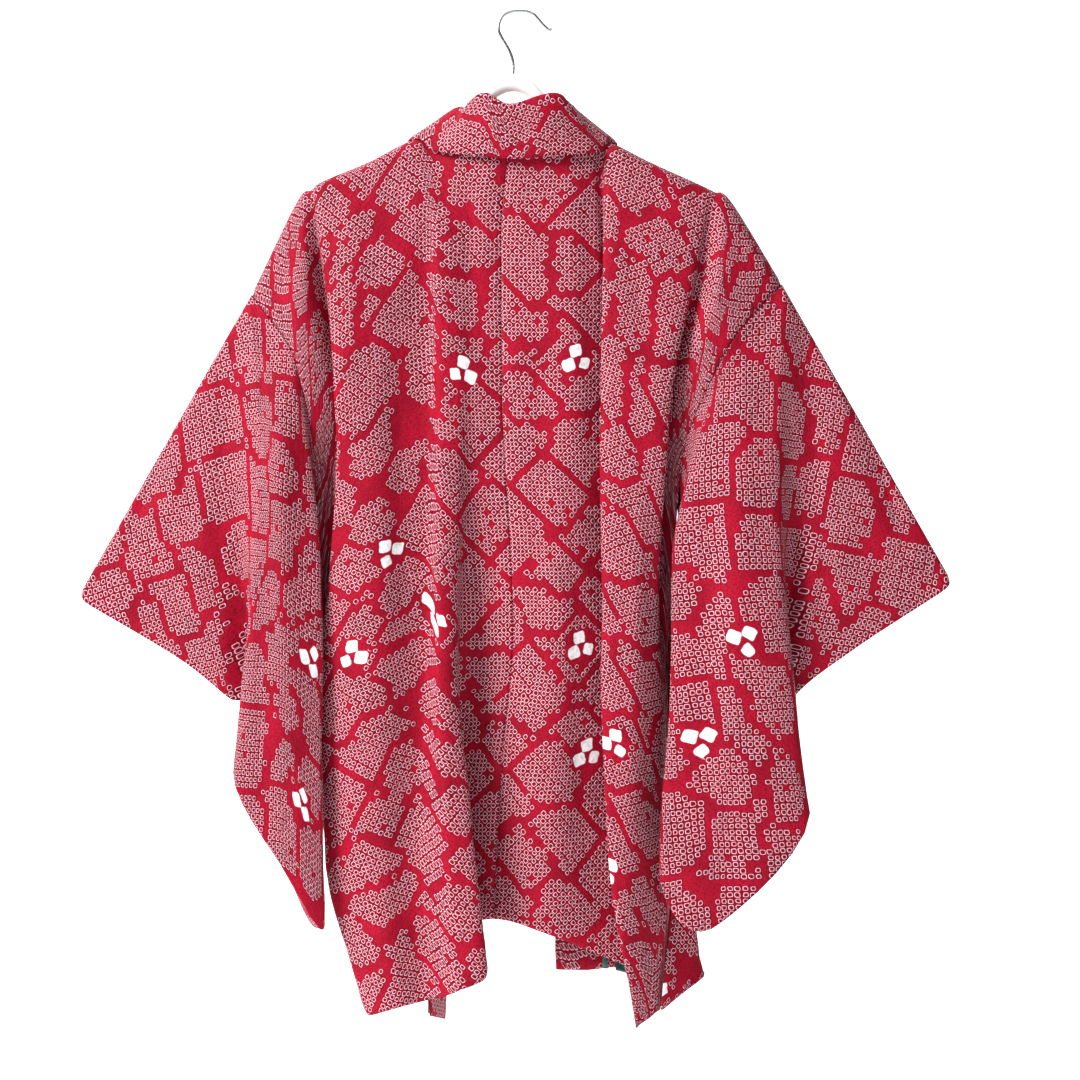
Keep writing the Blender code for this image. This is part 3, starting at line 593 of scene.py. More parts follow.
backFolds = tuple(reversed(leftBack[1:])) + rightBack
backStations = tuple(range(-drape["sideStation"], drape["sideStation"] + 1))
frontStations = tuple(range(drape["neckStation"], drape["sideStation"] + 1))
frontFolds = {"right": hungFromBack(rightBack, rightFront), "left": hungFromBack(leftBack, leftFront)}


@lru_cache(maxsize=None)
def backRow(down):
    level = down / drape["backLength"]
    return [foldPoint(fold, level) for fold in backFolds]


@lru_cache(maxsize=None)
def frontRow(side, down):
    level = down / drape["backLength"]
    return [foldPoint(fold, level) for fold in frontFolds[side]]


def backPoint(side, station, down):
    point = smooth(backStations, backRow(down), sides[side] * station)
    onShoulder = min(max(station - drape["neckCorner"], 0), 1)
    point.y *= 1 - onShoulder * (1 - rounded(max(down, 0), drape["shoulderRound"]))
    return point


def frontPoint(side, station, down):
    point = smooth(frontStations, frontRow(side, down), station)
    join = backPoint(side, station, 0) - smooth(frontStations, frontRow(side, 0.0), station)
    join = join * max(1 - down / drape["backLength"] / drape["levels"][1], 0)
    point.x += join.x
    point.z += join.z
    point.y *= rounded(max(down, 0), drape["shoulderRound"])
    return point


# An edge of a sheet: a point on it, the way its outer face looks, and the way off the edge
clothEdge = namedtuple("clothEdge", "at facing off")
surfaces = {"back": backPoint, "front": frontPoint}
firstStation = {"back": 0, "front": drape["neckStation"]}
outwardTurn = {"back": -1, "front": 1}


@lru_cache(maxsize=None)
def panelEdge(layer, side, station, down, acrossEdge):
    surface = surfaces[layer]
    downStep = drape["downStep"] + drape["downStepGrowth"] * down
    at = surface(side, station, down)
    outer = surface(side, min(station + drape["stationStep"], drape["sideStation"]), down)
    inner = surface(side, max(station - drape["stationStep"], firstStation[layer]), down)
    below = surface(side, station, down + downStep)
    above = surface(side, station, max(down - downStep, 0))
    facing = (outer - inner).cross(below - above).normalized() * (outwardTurn[layer] * sides[side])
    off = acrossEdge * (outer - inner) if acrossEdge else above - below
    along = (below - above if acrossEdge else outer - inner).normalized()
    off = (off - along * off.dot(along)).normalized()
    return clothEdge(at, facing, off)


def sideEdge(side, layer, down):
    return panelEdge(layer, side, drape["sideStation"], down, 1)


def collarEdge(side, down):
    return panelEdge("front", side, drape["neckStation"], down, -1)


def neckEdge(side, station):
    return panelEdge("back", side, station, 0, 0)


# Soft creases seen from the back, by their two ends' x and z, half width and rise; a trough is less than 0
crease = namedtuple("crease", "x1 z1 x2 z2 width rise")
bodyCreases = rowsOf(
    crease,
    (-8.5, -15, -12.5, -30, 1.5, 0.28), (-5.0, -15, -4.0, -34, 1.1, -0.20),
    (-15.5, -18, -17.0, -40, 1.2, 0.22), (-11.5, -32, -11.0, -62, 1.0, -0.22),
    (-15.8, -52, -16.4, -84, 1.3, 0.25), (-7.4, -66, -6.0, -90, 0.8, 0.25),
    (5.0, -15, 5.5, -44, 1.2, 0.24), (2.2, -30, 1.6, -62, 0.9, -0.16),
    (5.6, -50, 6.0, -84, 1.0, -0.22), (9.8, -20, 12.8, -34, 1.2, -0.22),
    (11.6, -44, 10.2, -88, 1.0, 0.24), (0.8, -64, 0.6, -86, 0.9, 0.2),
)
frontCreases = rowsOf(
    crease,
    (11.5, -18, 10.8, -44, 1.2, 0.25), (14.5, -20, 12.6, -60, 1.1, -0.22),
    (11.0, -52, 11.4, -88, 1.0, 0.25), (-12.0, -18, -11.4, -48, 1.2, 0.25),
    (-15.0, -22, -14.4, -66, 1.1, -0.22), (-12.4, -56, -11.4, -92, 1.0, 0.22),
)
sleeveCreases = rowsOf(
    crease,
    (30.0, -24, 33.5, -50, 1.4, 0.28), (27.6, -30, 29.5, -60, 1.2, -0.26),
    (33.5, -34, 37.5, -54, 1.1, -0.2), (21.5, -34, 20.6, -72, 1.2, 0.28),
    (18.2, -44, 17.4, -80, 0.9, -0.22), (22.8, -56, 23.6, -84, 1.2, 0.22),
    (25.8, -36, 26.4, -62, 0.8, -0.2), (-30.0, -24, -34.0, -50, 1.4, 0.28),
    (-28.0, -34, -29.6, -62, 1.2, -0.26), (-34.0, -34, -38.5, -56, 1.1, -0.2),
    (-22.6, -34, -22.2, -76, 1.0, 0.26), (-24.6, -48, -24.4, -78, 0.8, -0.22),
    (-21.0, -60, -20.8, -86, 0.8, 0.18),
)
unevenness = {"rise": 0.16, "scale": 0.15, "fine": 0.04, "fineScale": 0.8, "hangRise": 0.22, "hangScale": 0.3,
              "hangStretch": 0.14}


def creaseRise(creases, points):
    x, z = points[..., 0], points[..., 2]
    total = np.zeros(x.shape)
    for row in creases:
        runX, runZ = row.x2 - row.x1, row.z2 - row.z1
        along = ((x - row.x1) * runX + (z - row.z1) * runZ) / (runX ** 2 + runZ ** 2)
        nearest = np.clip(along, 0, 1)
        away = np.hypot(x - row.x1 - nearest * runX, z - row.z1 - nearest * runZ)
        ends = np.clip(1 - np.abs(2 * nearest - 1) ** 4, 0, 1)
        total += row.rise * np.exp(-(away / row.width) ** 2) * ends
    return total


def unevenRise(points, seed):
    total = np.zeros(points.shape[:2])
    for index in np.ndindex(total.shape):
        place = Vector(points[index]) + Vector((seed, 0, 0))
        hanging = Vector((place.x, place.y, place.z * unevenness["hangStretch"])) * unevenness["hangScale"]
        total[index] = (noise.noise(place * unevenness["scale"]) * unevenness["rise"]
                        + noise.noise(place * unevenness["fineScale"]) * unevenness["fine"]
                        + noise.noise(hanging) * unevenness["hangRise"])
    return total


def easeIn(distance, reach):  # 0 at an edge and 1 past its reach
    t = np.clip(distance / reach, 0, 1)
    return t * t * (3 - 2 * t)


def steps(marks, spacing):  # values between marks, at about one spacing
    values = [marks[0]]
    for low, high in zip(marks, marks[1:]):
        count = max(round((high - low) / spacing), 1)
        values += [low + (high - low) * k / count for k in range(1, count + 1)]
    return values


def closeAtEnds(first, spacing, last):  # the first and last values as given, and even steps between them
    return list(first[:-1]) + steps((first[-1], last[0]), spacing) + list(last[1:])


# Cut cloth laid through its points: the grid's own points are moved, creased along their normals and given
# their place on the flat cut
cloth = {"thickness": 0.0009, "edgeRoll": 0.14, "edgeReach": 0.45, "creaseReach": 2.0, "weld": 1e-5}


def layCloth(bm, columns, rows, place, turned, rolled, creases=(), seed=0.0, cutPlace=None, vSign=1,
             outward=0.0):
    wide, high = len(columns) - 1, len(rows) - 1
    points = np.array([[place(column, row) for row in rows] for column in columns])
    acrossLength = np.linalg.norm(np.diff(points, axis=0), axis=2)
    downLength = np.linalg.norm(np.diff(points, axis=1), axis=2)
    u = np.vstack([np.zeros(high + 1), np.cumsum(acrossLength, axis=0)])
    v = np.hstack([np.zeros((wide + 1, 1)), np.cumsum(downLength, axis=1)])
    normals = np.cross(np.gradient(points, axis=0), np.gradient(points, axis=1))
    normals /= np.maximum(np.linalg.norm(normals, axis=2, keepdims=True), 1e-9)
    normals *= -1 if turned else 1
    rise = creaseRise(creases, points) + unevenRise(points, seed)
    toEdge = {"left": u, "right": u[-1] - u, "top": v, "bottom": v[:, -1:] - v}
    for distance in toEdge.values():
        rise *= easeIn(distance, cloth["creaseReach"])
    for name in rolled:
        rise -= cloth["edgeRoll"] * (1 - easeIn(toEdge[name], cloth["edgeReach"]))
    points = points + normals * (rise + outward)[..., None]
    cuts = [[(u[i, j], vSign * v[i, j]) if cutPlace is None else cutPlace(column, row)
             for j, row in enumerate(rows)] for i, column in enumerate(columns)]
    layer = bm.loops.layers.uv.get("cut") or bm.loops.layers.uv.new("cut")
    grid = bmesh.ops.create_grid(bm, x_segments=wide, y_segments=high, size=1, calc_uvs=True)
    spots = {}
    faces = set()
    for vert in grid["verts"]:
        i = round((vert.co.x + 1) / 2 * wide)
        j = round((vert.co.y + 1) / 2 * high)
        spots[vert] = (i, j)
        vert.co = Vector(points[i, j]) * cm
        faces.update(vert.link_faces)
    for face in faces:
        for loop in face.loops:
            i, j = spots[loop.vert]
            loop[layer].uv = (cuts[i][j][0] * cm, cuts[i][j][1] * cm)
    if turned:
        bmesh.ops.reverse_faces(bm, faces=list(faces))
    return points, cuts


def finishCloth(name, bm, material):
    bmesh.ops.remove_doubles(bm, verts=bm.verts, dist=cloth["weld"])
    piece = addMesh(name, bm, material, lining)
    wall = piece.modifiers.new("wall", "SOLIDIFY")
    wall.thickness = cloth["thickness"]
    wall.offset = -1
    wall.material_offset = 1
    wall.use_even_offset = False
    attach(piece, "root")
    return piece


# Where the groups of three white squares show, by x and z seen from the back, and their turn. On the cut
# a group lies where the piece's back layer passes closest to that place, in a fold on the side that shows
trioPlaces = (
    ("panel", -5.4, -34.8, 180), ("panel", 5.5, -34.0, 180), ("panel", -12.4, -52.2, 150),
    ("panel", -8.0, -58.6, 10), ("panel", -15.9, -61.8, 180), ("panel", 5.9, -61.7, 185),
    ("panel", 6.5, -71.6, 180), ("panel", 9.0, -70.6, 175), ("panel", 8.3, -82.4, 25),
    ("sleeve", -19.9, -62.4, 5), ("sleeve", -20.6, -76.0, -5), ("sleeve", 21.3, -60.2, 175),
    ("sleeve", 17.2, -70.3, 160), ("gusset", 12.8, -94.3, 90),
)
trioSearch = {"nearerViewer": {"panel": 0.04, "sleeve": 0.3, "gusset": 0.04}, "viewerSide": 5, "reach": 1.2}


def triosOn(kind, points, cuts):
    found = []
    for where, x, z, turn in trioPlaces:
        if where != kind:
            continue
        behind = trioSearch["nearerViewer"][kind] * (points[..., 1] + trioSearch["viewerSide"])
        away = np.hypot(points[..., 0] - x, points[..., 2] - z) + behind
        i, j = np.unravel_index(np.argmin(away), away.shape)
        beside = (x - points[i, j, 0]) * math.copysign(1, x)
        if away[i, j] < trioSearch["reach"]:
            found.append(((cuts[i][j][0] + beside) * cm, cuts[i][j][1] * cm, math.radians(turn)))
    return found


# Body panels, from the back hem over the shoulder to the front hem
panel = {"stationSpacing": 0.13, "rowSpacing": 0.62, "neckClear": 0.05,
         "seamStations": (0, 0.05, 0.12, 0.22, 0.34, 0.5), "sideStations": (8.6, 8.72, 8.84, 8.93, 9),
         "shoulderRows": (0, 0.12, 0.28, 0.5, 0.75, 1.05, 1.4), "hemRows": (75.0, 75.4, 75.75, 76.0),
         "backSeed": 3.0, "frontSeed": 9.0, "silkSeeds": {"right": 3.0, "left": 41.0},
         "rolled": ("left", "right", "bottom")}


def makePanel(side):
    sign = sides[side]
    neck, clear = drape["neckStation"], panel["neckClear"]
    stations = closeAtEnds(panel["seamStations"], panel["stationSpacing"], panel["sideStations"])
    fromNeck = [neck] + [s for s in stations if s > neck + clear]
    stations = [s for s in stations if s <= neck - clear] + fromNeck
    downs = closeAtEnds(panel["shoulderRows"], panel["rowSpacing"], panel["hemRows"])
    bm = bmesh.new()
    points, cuts = layCloth(bm, stations, downs, partial(backPoint, side), turned=sign > 0,
                            creases=bodyCreases, seed=panel["backSeed"], rolled=panel["rolled"])
    layCloth(bm, fromNeck, downs, partial(frontPoint, side), turned=sign < 0, creases=frontCreases,
             seed=panel["frontSeed"], vSign=-1, rolled=panel["rolled"])
    material = makeSilk(side + "PanelSilk", panel["silkSeeds"][side], triosOn("panel", points, cuts))
    piece = finishCloth(side + "Panel", bm, material)
    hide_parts("panel_" + side)


for side in sides:
    makePanel(side)
    print("panel made:", side)

# Gussets between the side seams, from below the open underarm to the hem: the middle's x and y at three
# levels, and its height at the hem
gusset = {"top": 36.0, "gap": 0.03, "lead": 0.25, "hemFrom": 64.0, "rowSpacing": 0.9, "silkSeed": 77.0,
          "across": (0, 0.5, 1, 1.25, 1.5, 1.75, 2, 2.25, 2.5, 2.75, 3, 3.5, 4),
          "right": ((15.0, 16.4, 17.75), (0.2, 0.4, -1.2), -93.2),
          "left": ((-19.3, -18.9, -13.2), (1.1, 1.4, 2.6), -95.7)}


def makeGusset(side):
    lead, gap, length = gusset["lead"], gusset["gap"], drape["backLength"]
    middleX, middleY, hemHeight = gusset[side]
    marks = (gusset["top"], drape["levels"][3] * length, drape["levels"][4] * length, length)
    top = (sideEdge(side, "back", gusset["top"]).at + sideEdge(side, "front", gusset["top"]).at) / 2
    top.x += sides[side] * lead

    @lru_cache(maxsize=None)
    def section(down):
        back = sideEdge(side, "back", down)
        front = sideEdge(side, "front", down)
        between = (back.at.z + front.at.z + (back.off.z + front.off.z) * lead) / 2
        toHem = max(down - gusset["hemFrom"], 0) / (length - gusset["hemFrom"])
        middle = Vector((smooth(marks, (top.x,) + middleX, down), smooth(marks, (top.y,) + middleY, down),
                         between + (hemHeight - between) * toHem))
        return (back.at + back.off * gap, back.at + back.off * (gap + lead), middle,
                front.at + front.off * (gap + lead), front.at + front.off * gap)

    def place(across, down):
        i = min(int(across), 3)
        if 1 <= across <= 3:
            return smooth((1, 2, 3), section(down)[1:4], across)
        return section(down)[i].lerp(section(down)[i + 1], across - i)

    bm = bmesh.new()
    points, cuts = layCloth(bm, gusset["across"], steps((gusset["top"], length), gusset["rowSpacing"]), place,
                            turned=side == "right", rolled=("bottom",))
    material = makeSilk(side + "GussetSilk", gusset["silkSeed"], triosOn("gusset", points, cuts))
    piece = finishCloth(side + "Gusset", bm, material)
    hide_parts("gusset_" + side)


for side in sides:
    makeGusset(side)
print("gussets made")

# Sleeves: lines down each layer, from the armhole seam and the fold on top to the bottom
sleeve = {"width": 33.0, "armholeSewn": 23.0, "cuffSewnFrom": 3.0, "foldRound": 0.6, "foldHalf": 0.3,
          "foldFade": 3, "rootHalf": 1.0, "rootReach": 8.0, "rootY": -0.2,
          "seamGap": -0.04, "seamLead": 0.09, "seamLeadHold": 1.2, "columnSpacing": 0.7, "rowSpacing": 0.0125,
          "topRows": (0, 0.003, 0.007, 0.012), "bottomRows": (0.985, 0.993, 1.0),
          "backSeed": 17.0, "frontSeed": 23.0, "silkSeeds": {"right": 120.0, "left": 160.0},
          "tips": {"right": (41.75, -0.8, -55.1), "left": (-42.5, -0.8, -56.4)}}
sleeveLine = namedtuple("sleeveLine", "name place z backUpper backLower backBottom "
                                      "frontUpper frontLower frontBottom cutBottom")
rightSleeve = rowsOf(
    sleeveLine,
    ("armhole end", -23.0, -67.0, (16.2, -2.2), (17.8, -2.8), (20.0, -2.9),
     (15.8, 0.4), (17.9, -1.9), (20.0, -2.2), (12, 41)),
    ("inner turn", -16.0, -76.0, (15.6, -3.0), (16.4, -3.6), (16.6, -3.8),
     (15.9, 0.6), (16.6, -1.9), (16.6, -3.0), (20, 46)),
    ("inner crest", -11.0, -82.5, (14.9, -3.6), (14.4, -4.6), (13.3, -4.8),
     (16.2, 0.8), (14.9, -1.2), (13.9, -3.4), (25, 48)),
    ("bottom corner", -4.5, -87.8, (19.6, -4.4), (20.0, -5.6), (18.8, -5.0),
     (19.8, 0.9), (20.2, -1.0), (18.8, -3.6), (33, 48)),
    ("shoulder point", 0.0, -77.2, (24.5, -3.4), (25.6, -4.8), (27.7, -4.4),
     (24.6, 1.2), (25.0, -0.6), (24.4, -1.7), (33, 34)),
    ("cuff seam top", 3.0, -69.6, (26.2, -2.2), (25.6, -2.2), (24.6, -2.6),
     (26.6, 1.4), (26.2, 0.2), (25.0, -1.3), (33, 24)),
    ("lower cuff", 11.0, -66.2, (29.8, -1.9), (28.4, -2.6), (26.4, -2.8),
     (29.8, 1.2), (28.6, 0.8), (26.4, -1.3), (33, 18.7)),
    ("upper cuff", 22.0, -61.7, (35.2, -1.6), (33.8, -2.0), (32.2, -2.2),
     (35.2, 0.6), (33.8, 0.8), (32.2, -0.6), (33, 11.6)),
    ("cuff tip", 33.0, -55.9, (41.6, -1.2), (41.5, -1.2), (41.3, -1.2),
     (41.6, -0.4), (41.5, -0.4), (41.3, -0.4), (33, 0.6)),
)
leftSleeve = rowsOf(
    sleeveLine,
    ("armhole end", -23.0, -68.0, (-20.1, -2.2), (-20.8, -2.5), (-22.5, -2.6),
     (-20.5, 0.4), (-21.4, -1.7), (-23.0, -1.9), (12, 41)),
    ("inner turn", -16.0, -79.0, (-19.5, -3.0), (-19.6, -3.1), (-20.0, -3.1),
     (-20.6, 0.6), (-20.8, -1.6), (-20.8, -2.4), (20, 46)),
    ("inner crest", -11.0, -88.0, (-19.1, -3.4), (-18.9, -3.9), (-18.5, -4.0),
     (-20.9, 0.8), (-20.0, -1.0), (-19.4, -2.8), (27, 48)),
    ("bottom corner", -4.5, -82.7, (-23.0, -4.4), (-22.6, -4.8), (-22.3, -4.6),
     (-23.0, 0.8), (-22.8, -0.8), (-22.3, -2.4), (33, 42)),
    ("shoulder point", 0.0, -73.3, (-24.8, -3.4), (-25.6, -4.6), (-27.2, -4.4),
     (-25.0, 1.1), (-25.2, -0.4), (-24.8, -1.5), (33, 30)),
    ("cuff seam top", 3.0, -68.5, (-26.4, -2.2), (-26.0, -2.2), (-25.0, -2.5),
     (-26.8, 1.3), (-26.4, 0.2), (-25.6, -1.3), (33, 24)),
    ("lower cuff", 11.0, -66.4, (-30.6, -1.9), (-29.6, -2.4), (-27.8, -2.6),
     (-30.6, 1.2), (-29.8, 0.8), (-27.8, -1.1), (33, 18.7)),
    ("upper cuff", 22.0, -62.6, (-35.9, -1.6), (-34.4, -2.0), (-32.7, -2.2),
     (-35.9, 1.0), (-34.4, 0.8), (-32.7, -0.6), (33, 11.6)),
    ("cuff tip", 33.0, -57.2, (-42.3, -1.2), (-42.2, -1.2), (-42.0, -1.2),
     (-42.3, -0.4), (-42.2, -0.4), (-42.0, -0.4), (33, 0.6)),
)
sleeveLines = {"right": rightSleeve, "left": leftSleeve}


@lru_cache(maxsize=None)
def sleeveTop(side, layer, place):
    gap = sleeve["seamGap"]
    if place < 0:
        seam = sideEdge(side, layer, -place)
        return seam.at + seam.off * gap
    root = sideEdge(side, layer, 0)
    start = root.at + root.off * gap
    end = Vector(sleeve["tips"][side])
    along = place / sleeve["width"]
    top = start.lerp(end, along)
    top.y = min(place / sleeve["rootReach"], 1) * sleeve["rootY"] + along * (end.y - sleeve["rootY"])
    return top


@lru_cache(maxsize=None)
def sleeveColumn(side, layer, place):  # the four points that a column passes through
    lines = sleeveLines[side]
    places = [line.place for line in lines]
    top = sleeveTop(side, layer, place)

    def read(name):
        return smooth(places, [Vector(getattr(line, name)).to_3d() for line in lines], place)

    upper, lower, bottom = (read(layer + part) for part in ("Upper", "Lower", "Bottom"))
    bottom.z = smooth(places, [line.z for line in lines], place)
    upper.z = top.z + (bottom.z - top.z) / 3
    lower.z = top.z + (bottom.z - top.z) * 2 / 3
    return top, upper, lower, bottom


def makeSleeve(side):
    lines = sleeveLines[side]
    places = [line.place for line in lines]

    def layerPoint(layer, place, row):
        top, upper, lower, bottom = sleeveColumn(side, layer, place)
        point = smooth((0.0, 1 / 3, 2 / 3, 1.0), (top, upper, lower, bottom), row)
        if place < 0:
            seam = sideEdge(side, layer, -place)
            flat = Vector((seam.facing.x, seam.facing.y, 0))
            straight = min(sleeve["seamLeadHold"] * max(1 - row / sleeve["seamLead"], 0), 1)
            point -= flat * (point - top).dot(flat) * straight
        else:
            root = max(1 - place / sleeve["rootReach"], 0) ** 2
            half = sleeve["foldHalf"] + (sleeve["rootHalf"] - sleeve["foldHalf"]) * root
            radius = sleeve["foldRound"] + (drape["shoulderRound"] - sleeve["foldRound"]) * root
            below = row * (top - bottom).length
            shift = half * rounded(below, radius) * max(1 - row * sleeve["foldFade"], 0)
            point.y += shift if layer == "front" else -shift
        return point

    def cutPlace(place, row):
        start = (0, -place) if place < 0 else (place, 0)
        end = smooth(places, [Vector(line.cutBottom) for line in lines], place)
        return start[0] + (end.x - start[0]) * row, start[1] + (end.y - start[1]) * row

    def mirroredCut(place, row):
        u, v = cutPlace(place, row)
        return -u, v

    def bottomPoint(place, across):
        return layerPoint("back", place, 1).lerp(layerPoint("front", place, 1), across)

    sign = sides[side]
    marks = (-sleeve["armholeSewn"], 0, sleeve["cuffSewnFrom"], sleeve["width"])
    columns = steps(marks, sleeve["columnSpacing"])
    sewn = steps(marks[:3], sleeve["columnSpacing"])
    rows = closeAtEnds(sleeve["topRows"], sleeve["rowSpacing"], sleeve["bottomRows"])
    bm = bmesh.new()
    points, cuts = layCloth(bm, columns, rows, partial(layerPoint, "back"), turned=sign > 0,
                            creases=sleeveCreases, seed=sleeve["backSeed"], cutPlace=cutPlace,
                            rolled=("right",))
    layCloth(bm, columns, rows, partial(layerPoint, "front"), turned=sign < 0, creases=sleeveCreases,
             seed=sleeve["frontSeed"], cutPlace=mirroredCut, rolled=("right",))
    layCloth(bm, sewn, (0.0, 0.5, 1.0), bottomPoint, turned=sign > 0, rolled=())
    material = makeSilk(side + "SleeveSilk", sleeve["silkSeeds"][side], triosOn("sleeve", points, cuts))
    piece = finishCloth(side + "Sleeve", bm, material)
    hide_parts("sleeve_" + side)


for side in sides:
    makeSleeve(side)
    print("sleeve made:", side)

# Collar: a long band folded in half, by its fold's offset from the seam, its lift and its lap
collar = {"foldHalf": 0.22, "seamGap": 0.04, "neckEase": 0.12, "easeReach": 1.5, "wall": 0.15,
          "neckSpacing": 0.11, "alongSpacing": 0.6, "hemFrom": 60, "hemRun": 20,
          "leftSlip": (-0.6, 0, -1.8), "hemFacing": 2.8, "seed": 31.0, "silkSeed": 210.0,
          "across": (0, 0.3, 0.7, 1, 1.35, 1.7, 1.9, 2.1, 2.35, 2.6, 2.8, 3,
                     3.2, 3.4, 3.65, 3.9, 4.1, 4.3, 4.65, 5, 5.3, 5.6, 5.8, 6)}
collarLine = namedtuple("collarLine", "name place fold lift lap")
collarLines = rowsOf(
    collarLine,
    ("left hem", -80.0, (1.2, 4.8, -1.2), 0.8, 0.3),
    ("left hip", -64.0, (3.2, 4.0, -0.8), 0.8, 0.3),
    ("left waist", -50.0, (5.0, 2.4, -0.3), 0.8, 0.4),
    ("left chest", -24.0, (5.6, 0.7, 0.0), 0.8, 0.4),
    ("left collarbone", -12.0, (5.3, 0.8, 1.0), 0.8, 0.4),
    ("left turn", -8.0, (5.0, 0.6, 3.2), 0.4, 0.4),
    ("left neck point", -4.0, (4.2, 0.3, 3.1), 0.16, 0.5),
    ("left neck corner", -3.0, (2.9, 0.3, 3.5), 0.6, 0.5),
    ("left neck", -2.0, (1.5, 0.0, 4.3), 0.8, 0.7),
    ("left nape", -1.0, (-0.1, 0.0, 5.1), 0.8, 0.8),
    ("nape notch", 0.0, (0.0, -0.3, 3.9), 0.8, 1.1),
    ("right nape", 1.0, (0.1, 0.0, 5.15), 0.8, 0.8),
    ("right neck", 2.0, (-2.0, 0.0, 4.4), 0.8, 0.7),
    ("right neck corner", 3.0, (-2.7, 0.2, 3.9), 0.6, 0.5),
    ("right neck point", 4.0, (-3.7, 0.3, 3.4), 0.16, 0.5),
    ("right turn", 8.0, (-4.5, 0.6, 3.4), 0.4, 0.4),
    ("right collarbone", 12.0, (-5.1, 0.8, 1.0), 0.8, 0.4),
    ("right chest", 24.0, (-5.6, 0.7, 0.0), 0.8, 0.4),
    ("right hem", 80.0, (-5.6, 0.7, 0.0), 0.8, 0.4),
)


def collarSeam(place):
    side = "right" if place >= 0 else "left"
    along = abs(place)
    if along < drape["neckStation"]:
        return neckEdge(side, along)
    return collarEdge(side, along - drape["neckStation"])


def nearHem(along):  # 0 down to the hip and 1 at the hem
    return max((along - collar["hemFrom"]) / collar["hemRun"], 0)


@lru_cache(maxsize=None)
def collarSection(place):
    places = [line.place for line in collarLines]
    seam = collarSeam(place)
    ease = collar["neckEase"] * max(1 - abs(abs(place) - drape["neckStation"]) / collar["easeReach"], 0)
    start = seam.at + seam.off * (collar["seamGap"] + ease) - seam.facing * collar["wall"]
    fold = smooth(places, [Vector(line.fold) for line in collarLines], place)
    lift = smooth(places, [line.lift for line in collarLines], place)
    lap = smooth(places, [line.lap for line in collarLines], place)
    end = seam.at + seam.facing * lift - seam.off * lap
    slip = Vector(collar["leftSlip"]) * nearHem(-place)
    start, end = start + slip, end + slip
    rise = fold.normalized()
    outer = end - start
    apart = (outer - rise * outer.dot(rise)).normalized() * collar["foldHalf"]
    tip = start + fold
    near = tip - apart - rise * collar["foldHalf"]
    far = tip + apart - rise * collar["foldHalf"]
    sewn = start - seam.off * (collar["hemFacing"] * nearHem(place))
    return sewn, start.lerp(near, 0.5), near, tip, far, far.lerp(end, 0.5), end


def makeCollar():
    neck = drape["neckStation"]
    fronts = steps((neck, neck + drape["backLength"]), collar["alongSpacing"])
    half = steps((0, neck), collar["neckSpacing"])[1:-1] + fronts
    columns = [-place for place in reversed(half)] + [0] + half

    def place(column, at):
        points = collarSection(column)
        i = min(int(at), 5)
        if 2 <= at <= 4:
            return smooth((2, 3, 4), points[2:5], at)
        return points[i].lerp(points[i + 1], at - i)

    bm = bmesh.new()
    layCloth(bm, columns, collar["across"], place, turned=True, seed=collar["seed"], rolled=("bottom",),
             outward=collar["wall"])
    piece = finishCloth("collarBand", bm, makeSilk("collarSilk", collar["silkSeed"]))
    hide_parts("collar")


makeCollar()
print("collar made")

# Hanger: smooth white plastic, and a polished wire hook
hanger = {"white": (0.95, 0.95, 0.95, 1), "dusk": (0.92, 0.92, 0.92, 1), "cloud": (30.0, 3.0),
          "shade": (0.3, 0.7), "grain": (900.0, 2.0), "relief": 0.0001, "roughness": (0.15, 0.25),
          "middle": -0.6, "armEnd": 17.6, "step": 0.6, "sides": 28}
armSection = namedtuple("armSection", "name along top height halfDepth")
armSections = rowsOf(
    armSection,
    ("hump", 0.0, -6.0, 1.7, 0.6),
    ("hump shoulder", 1.6, -6.5, 1.8, 0.6),
    ("hump side", 3.4, -8.3, 2.2, 0.6),
    ("hump foot", 5.2, -10.3, 2.0, 0.6),
    ("neck", 7.2, -12.2, 1.8, 0.65),
    ("arm root", 9.2, -13.35, 1.6, 0.8),
    ("arm", 13.1, -14.86, 1.5, 1.0),
    ("arm end", 17.6, -16.88, 1.4, 1.05),
    ("tip", 19.6, -17.81, 1.1, 0.9),
    ("tip edge", 20.2, -18.3, 0.5, 0.5),
)
hook = {"finish": {"Base Color": (0.46, 0.49, 0.48, 1), "Metallic": 1.0}, "rub": (260.0, 4.0),
        "roughness": (0.16, 0.18), "wireRadius": 0.00155, "roundness": 5, "steps": 90}
hookBends = (
    (-0.6, -5.97), (-0.61, -4.8), (-0.84, -4.0), (-1.25, -3.2), (-1.7, -2.45), (-1.98, -1.8), (-2.0, -1.25),
    (-1.84, -0.7), (-1.42, -0.2), (-0.8, 0.08), (0.0, 0.155), (0.75, 0.1), (1.33, -0.14), (1.78, -0.58),
    (2.2, -1.08), (2.6, -1.48), (2.92, -1.68), (3.16, -1.58),
)


def makePlastic():
    material, tree, shader = newMaterial("hangerPlastic", {})
    place = tree.nodes.new("ShaderNodeTexCoord").outputs["Object"]
    cloud = noiseOf(tree, place, *hanger["cloud"])
    feed(tree, shader.inputs["Base Color"],
         mixColour(tree, ramp(tree, cloud, *hanger["shade"]), hanger["white"], hanger["dusk"]))
    feed(tree, shader.inputs["Roughness"], calc(tree, "MULTIPLY_ADD", cloud, *hanger["roughness"]))
    grain = noiseOf(tree, place, *hanger["grain"])
    feed(tree, shader.inputs["Normal"], addBump(tree, grain, hanger["relief"]))
    return material


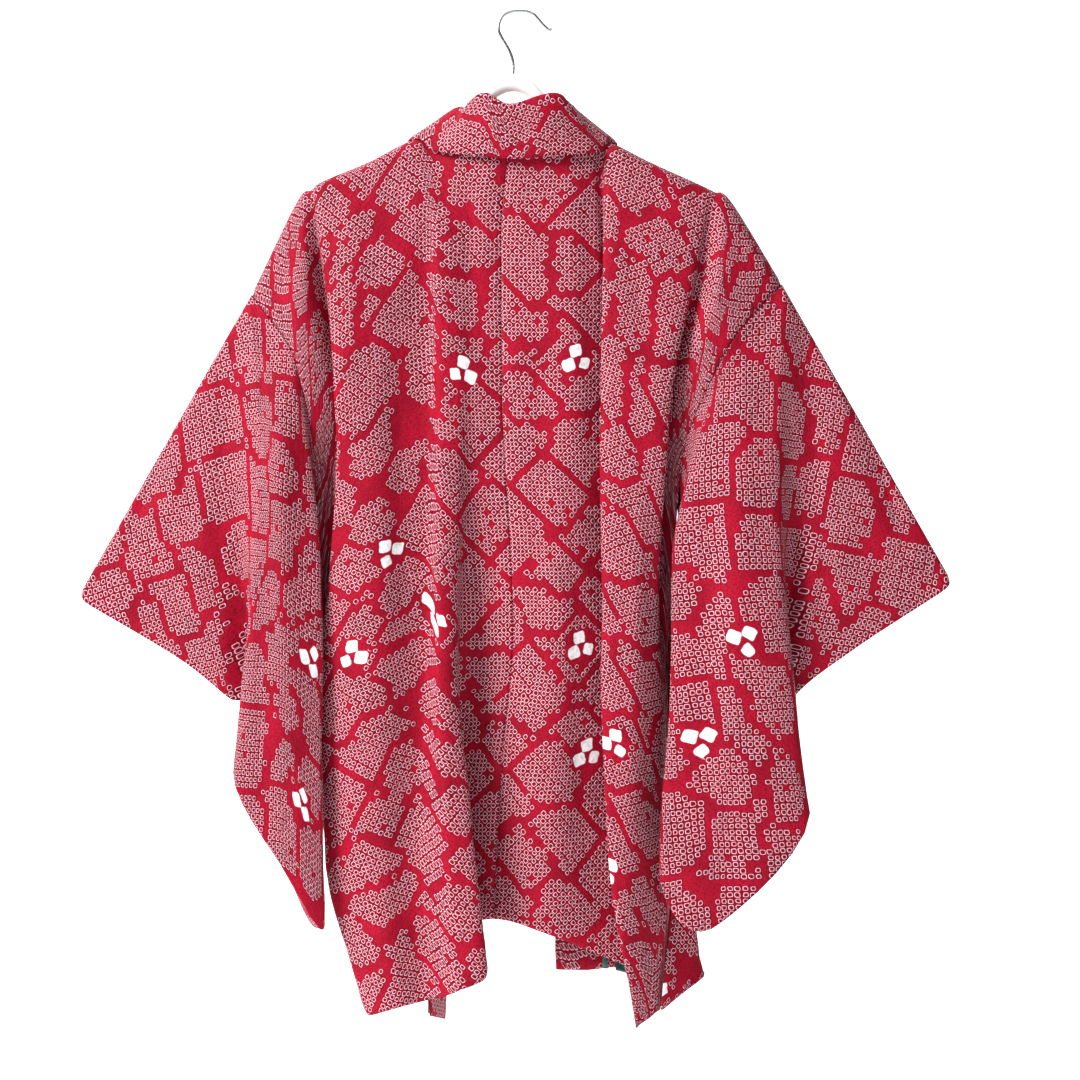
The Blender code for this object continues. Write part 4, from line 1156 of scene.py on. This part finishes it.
def makeHanger():  # a loft of ovals, read smoothly between the sections
    mirrored = tuple(section._replace(along=-section.along) for section in armSections[:0:-1])
    sections = mirrored + armSections
    marks = [section.along for section in sections]
    shapes = [Vector(section[2:]) for section in sections]
    bm = bmesh.new()
    loops = []
    for along in steps((marks[0], -hanger["armEnd"], 0, hanger["armEnd"], marks[-1]), hanger["step"]):
        top, height, halfDepth = smooth(marks, shapes, along)
        loop = bmesh.ops.create_circle(bm, segments=hanger["sides"], radius=1)["verts"]
        for vert in loop:
            vert.co = Vector((hanger["middle"] + along, vert.co.x * halfDepth,
                              top + (vert.co.y - 1) * height / 2)) * cm
        loops.append(loop)
    for loop, following in zip(loops, loops[1:]):
        pair = set(loop) | set(following)
        edges = {e for vert in pair for e in vert.link_edges if e.other_vert(vert) in pair}
        edges = [e for e in edges if (e.verts[0] in loop) == (e.verts[1] in loop)]
        bmesh.ops.bridge_loops(bm, edges=edges)
    bmesh.ops.contextual_create(bm, geom=loops[0])
    bmesh.ops.contextual_create(bm, geom=loops[-1])
    bmesh.ops.recalc_face_normals(bm, faces=bm.faces)
    arms = addMesh("hangerArms", bm, makePlastic())
    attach(arms, "root")
    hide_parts("hanger_body")


def makeChrome():
    material, tree, shader = newMaterial("hookChrome", hook["finish"])
    rub = noiseOf(tree, tree.nodes.new("ShaderNodeTexCoord").outputs["Object"], *hook["rub"])
    feed(tree, shader.inputs["Roughness"], calc(tree, "MULTIPLY_ADD", rub, *hook["roughness"]))
    return material


def makeHook():
    bends = [Vector((x, 0, z)) for x, z in hookBends]
    marks = [0.0]
    for before, after in zip(bends, bends[1:]):
        marks.append(marks[-1] + (after - before).length)
    curve = bpy.data.curves.new("wireHook", "CURVE")
    curve.dimensions = "3D"
    curve.bevel_depth = hook["wireRadius"]
    curve.bevel_resolution = hook["roundness"]
    curve.use_fill_caps = True
    curve.materials.append(makeChrome())
    spline = curve.splines.new("POLY")
    spline.points.add(hook["steps"])
    for k, point in enumerate(spline.points):
        point.co = (*(smooth(marks, bends, marks[-1] * k / hook["steps"]) * cm), 1)
    carrier = addObject("wireHookCurve", curve)
    mesh = bpy.data.meshes.new_from_object(carrier)
    bpy.data.objects.remove(carrier)
    mesh.name = "wireHook"
    mesh.shade_smooth()
    wire = addObject("wireHook", mesh)
    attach(wire, "root")
    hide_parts("hanger_hook")


makeHanger()
makeHook()
print("hanger and hook made")
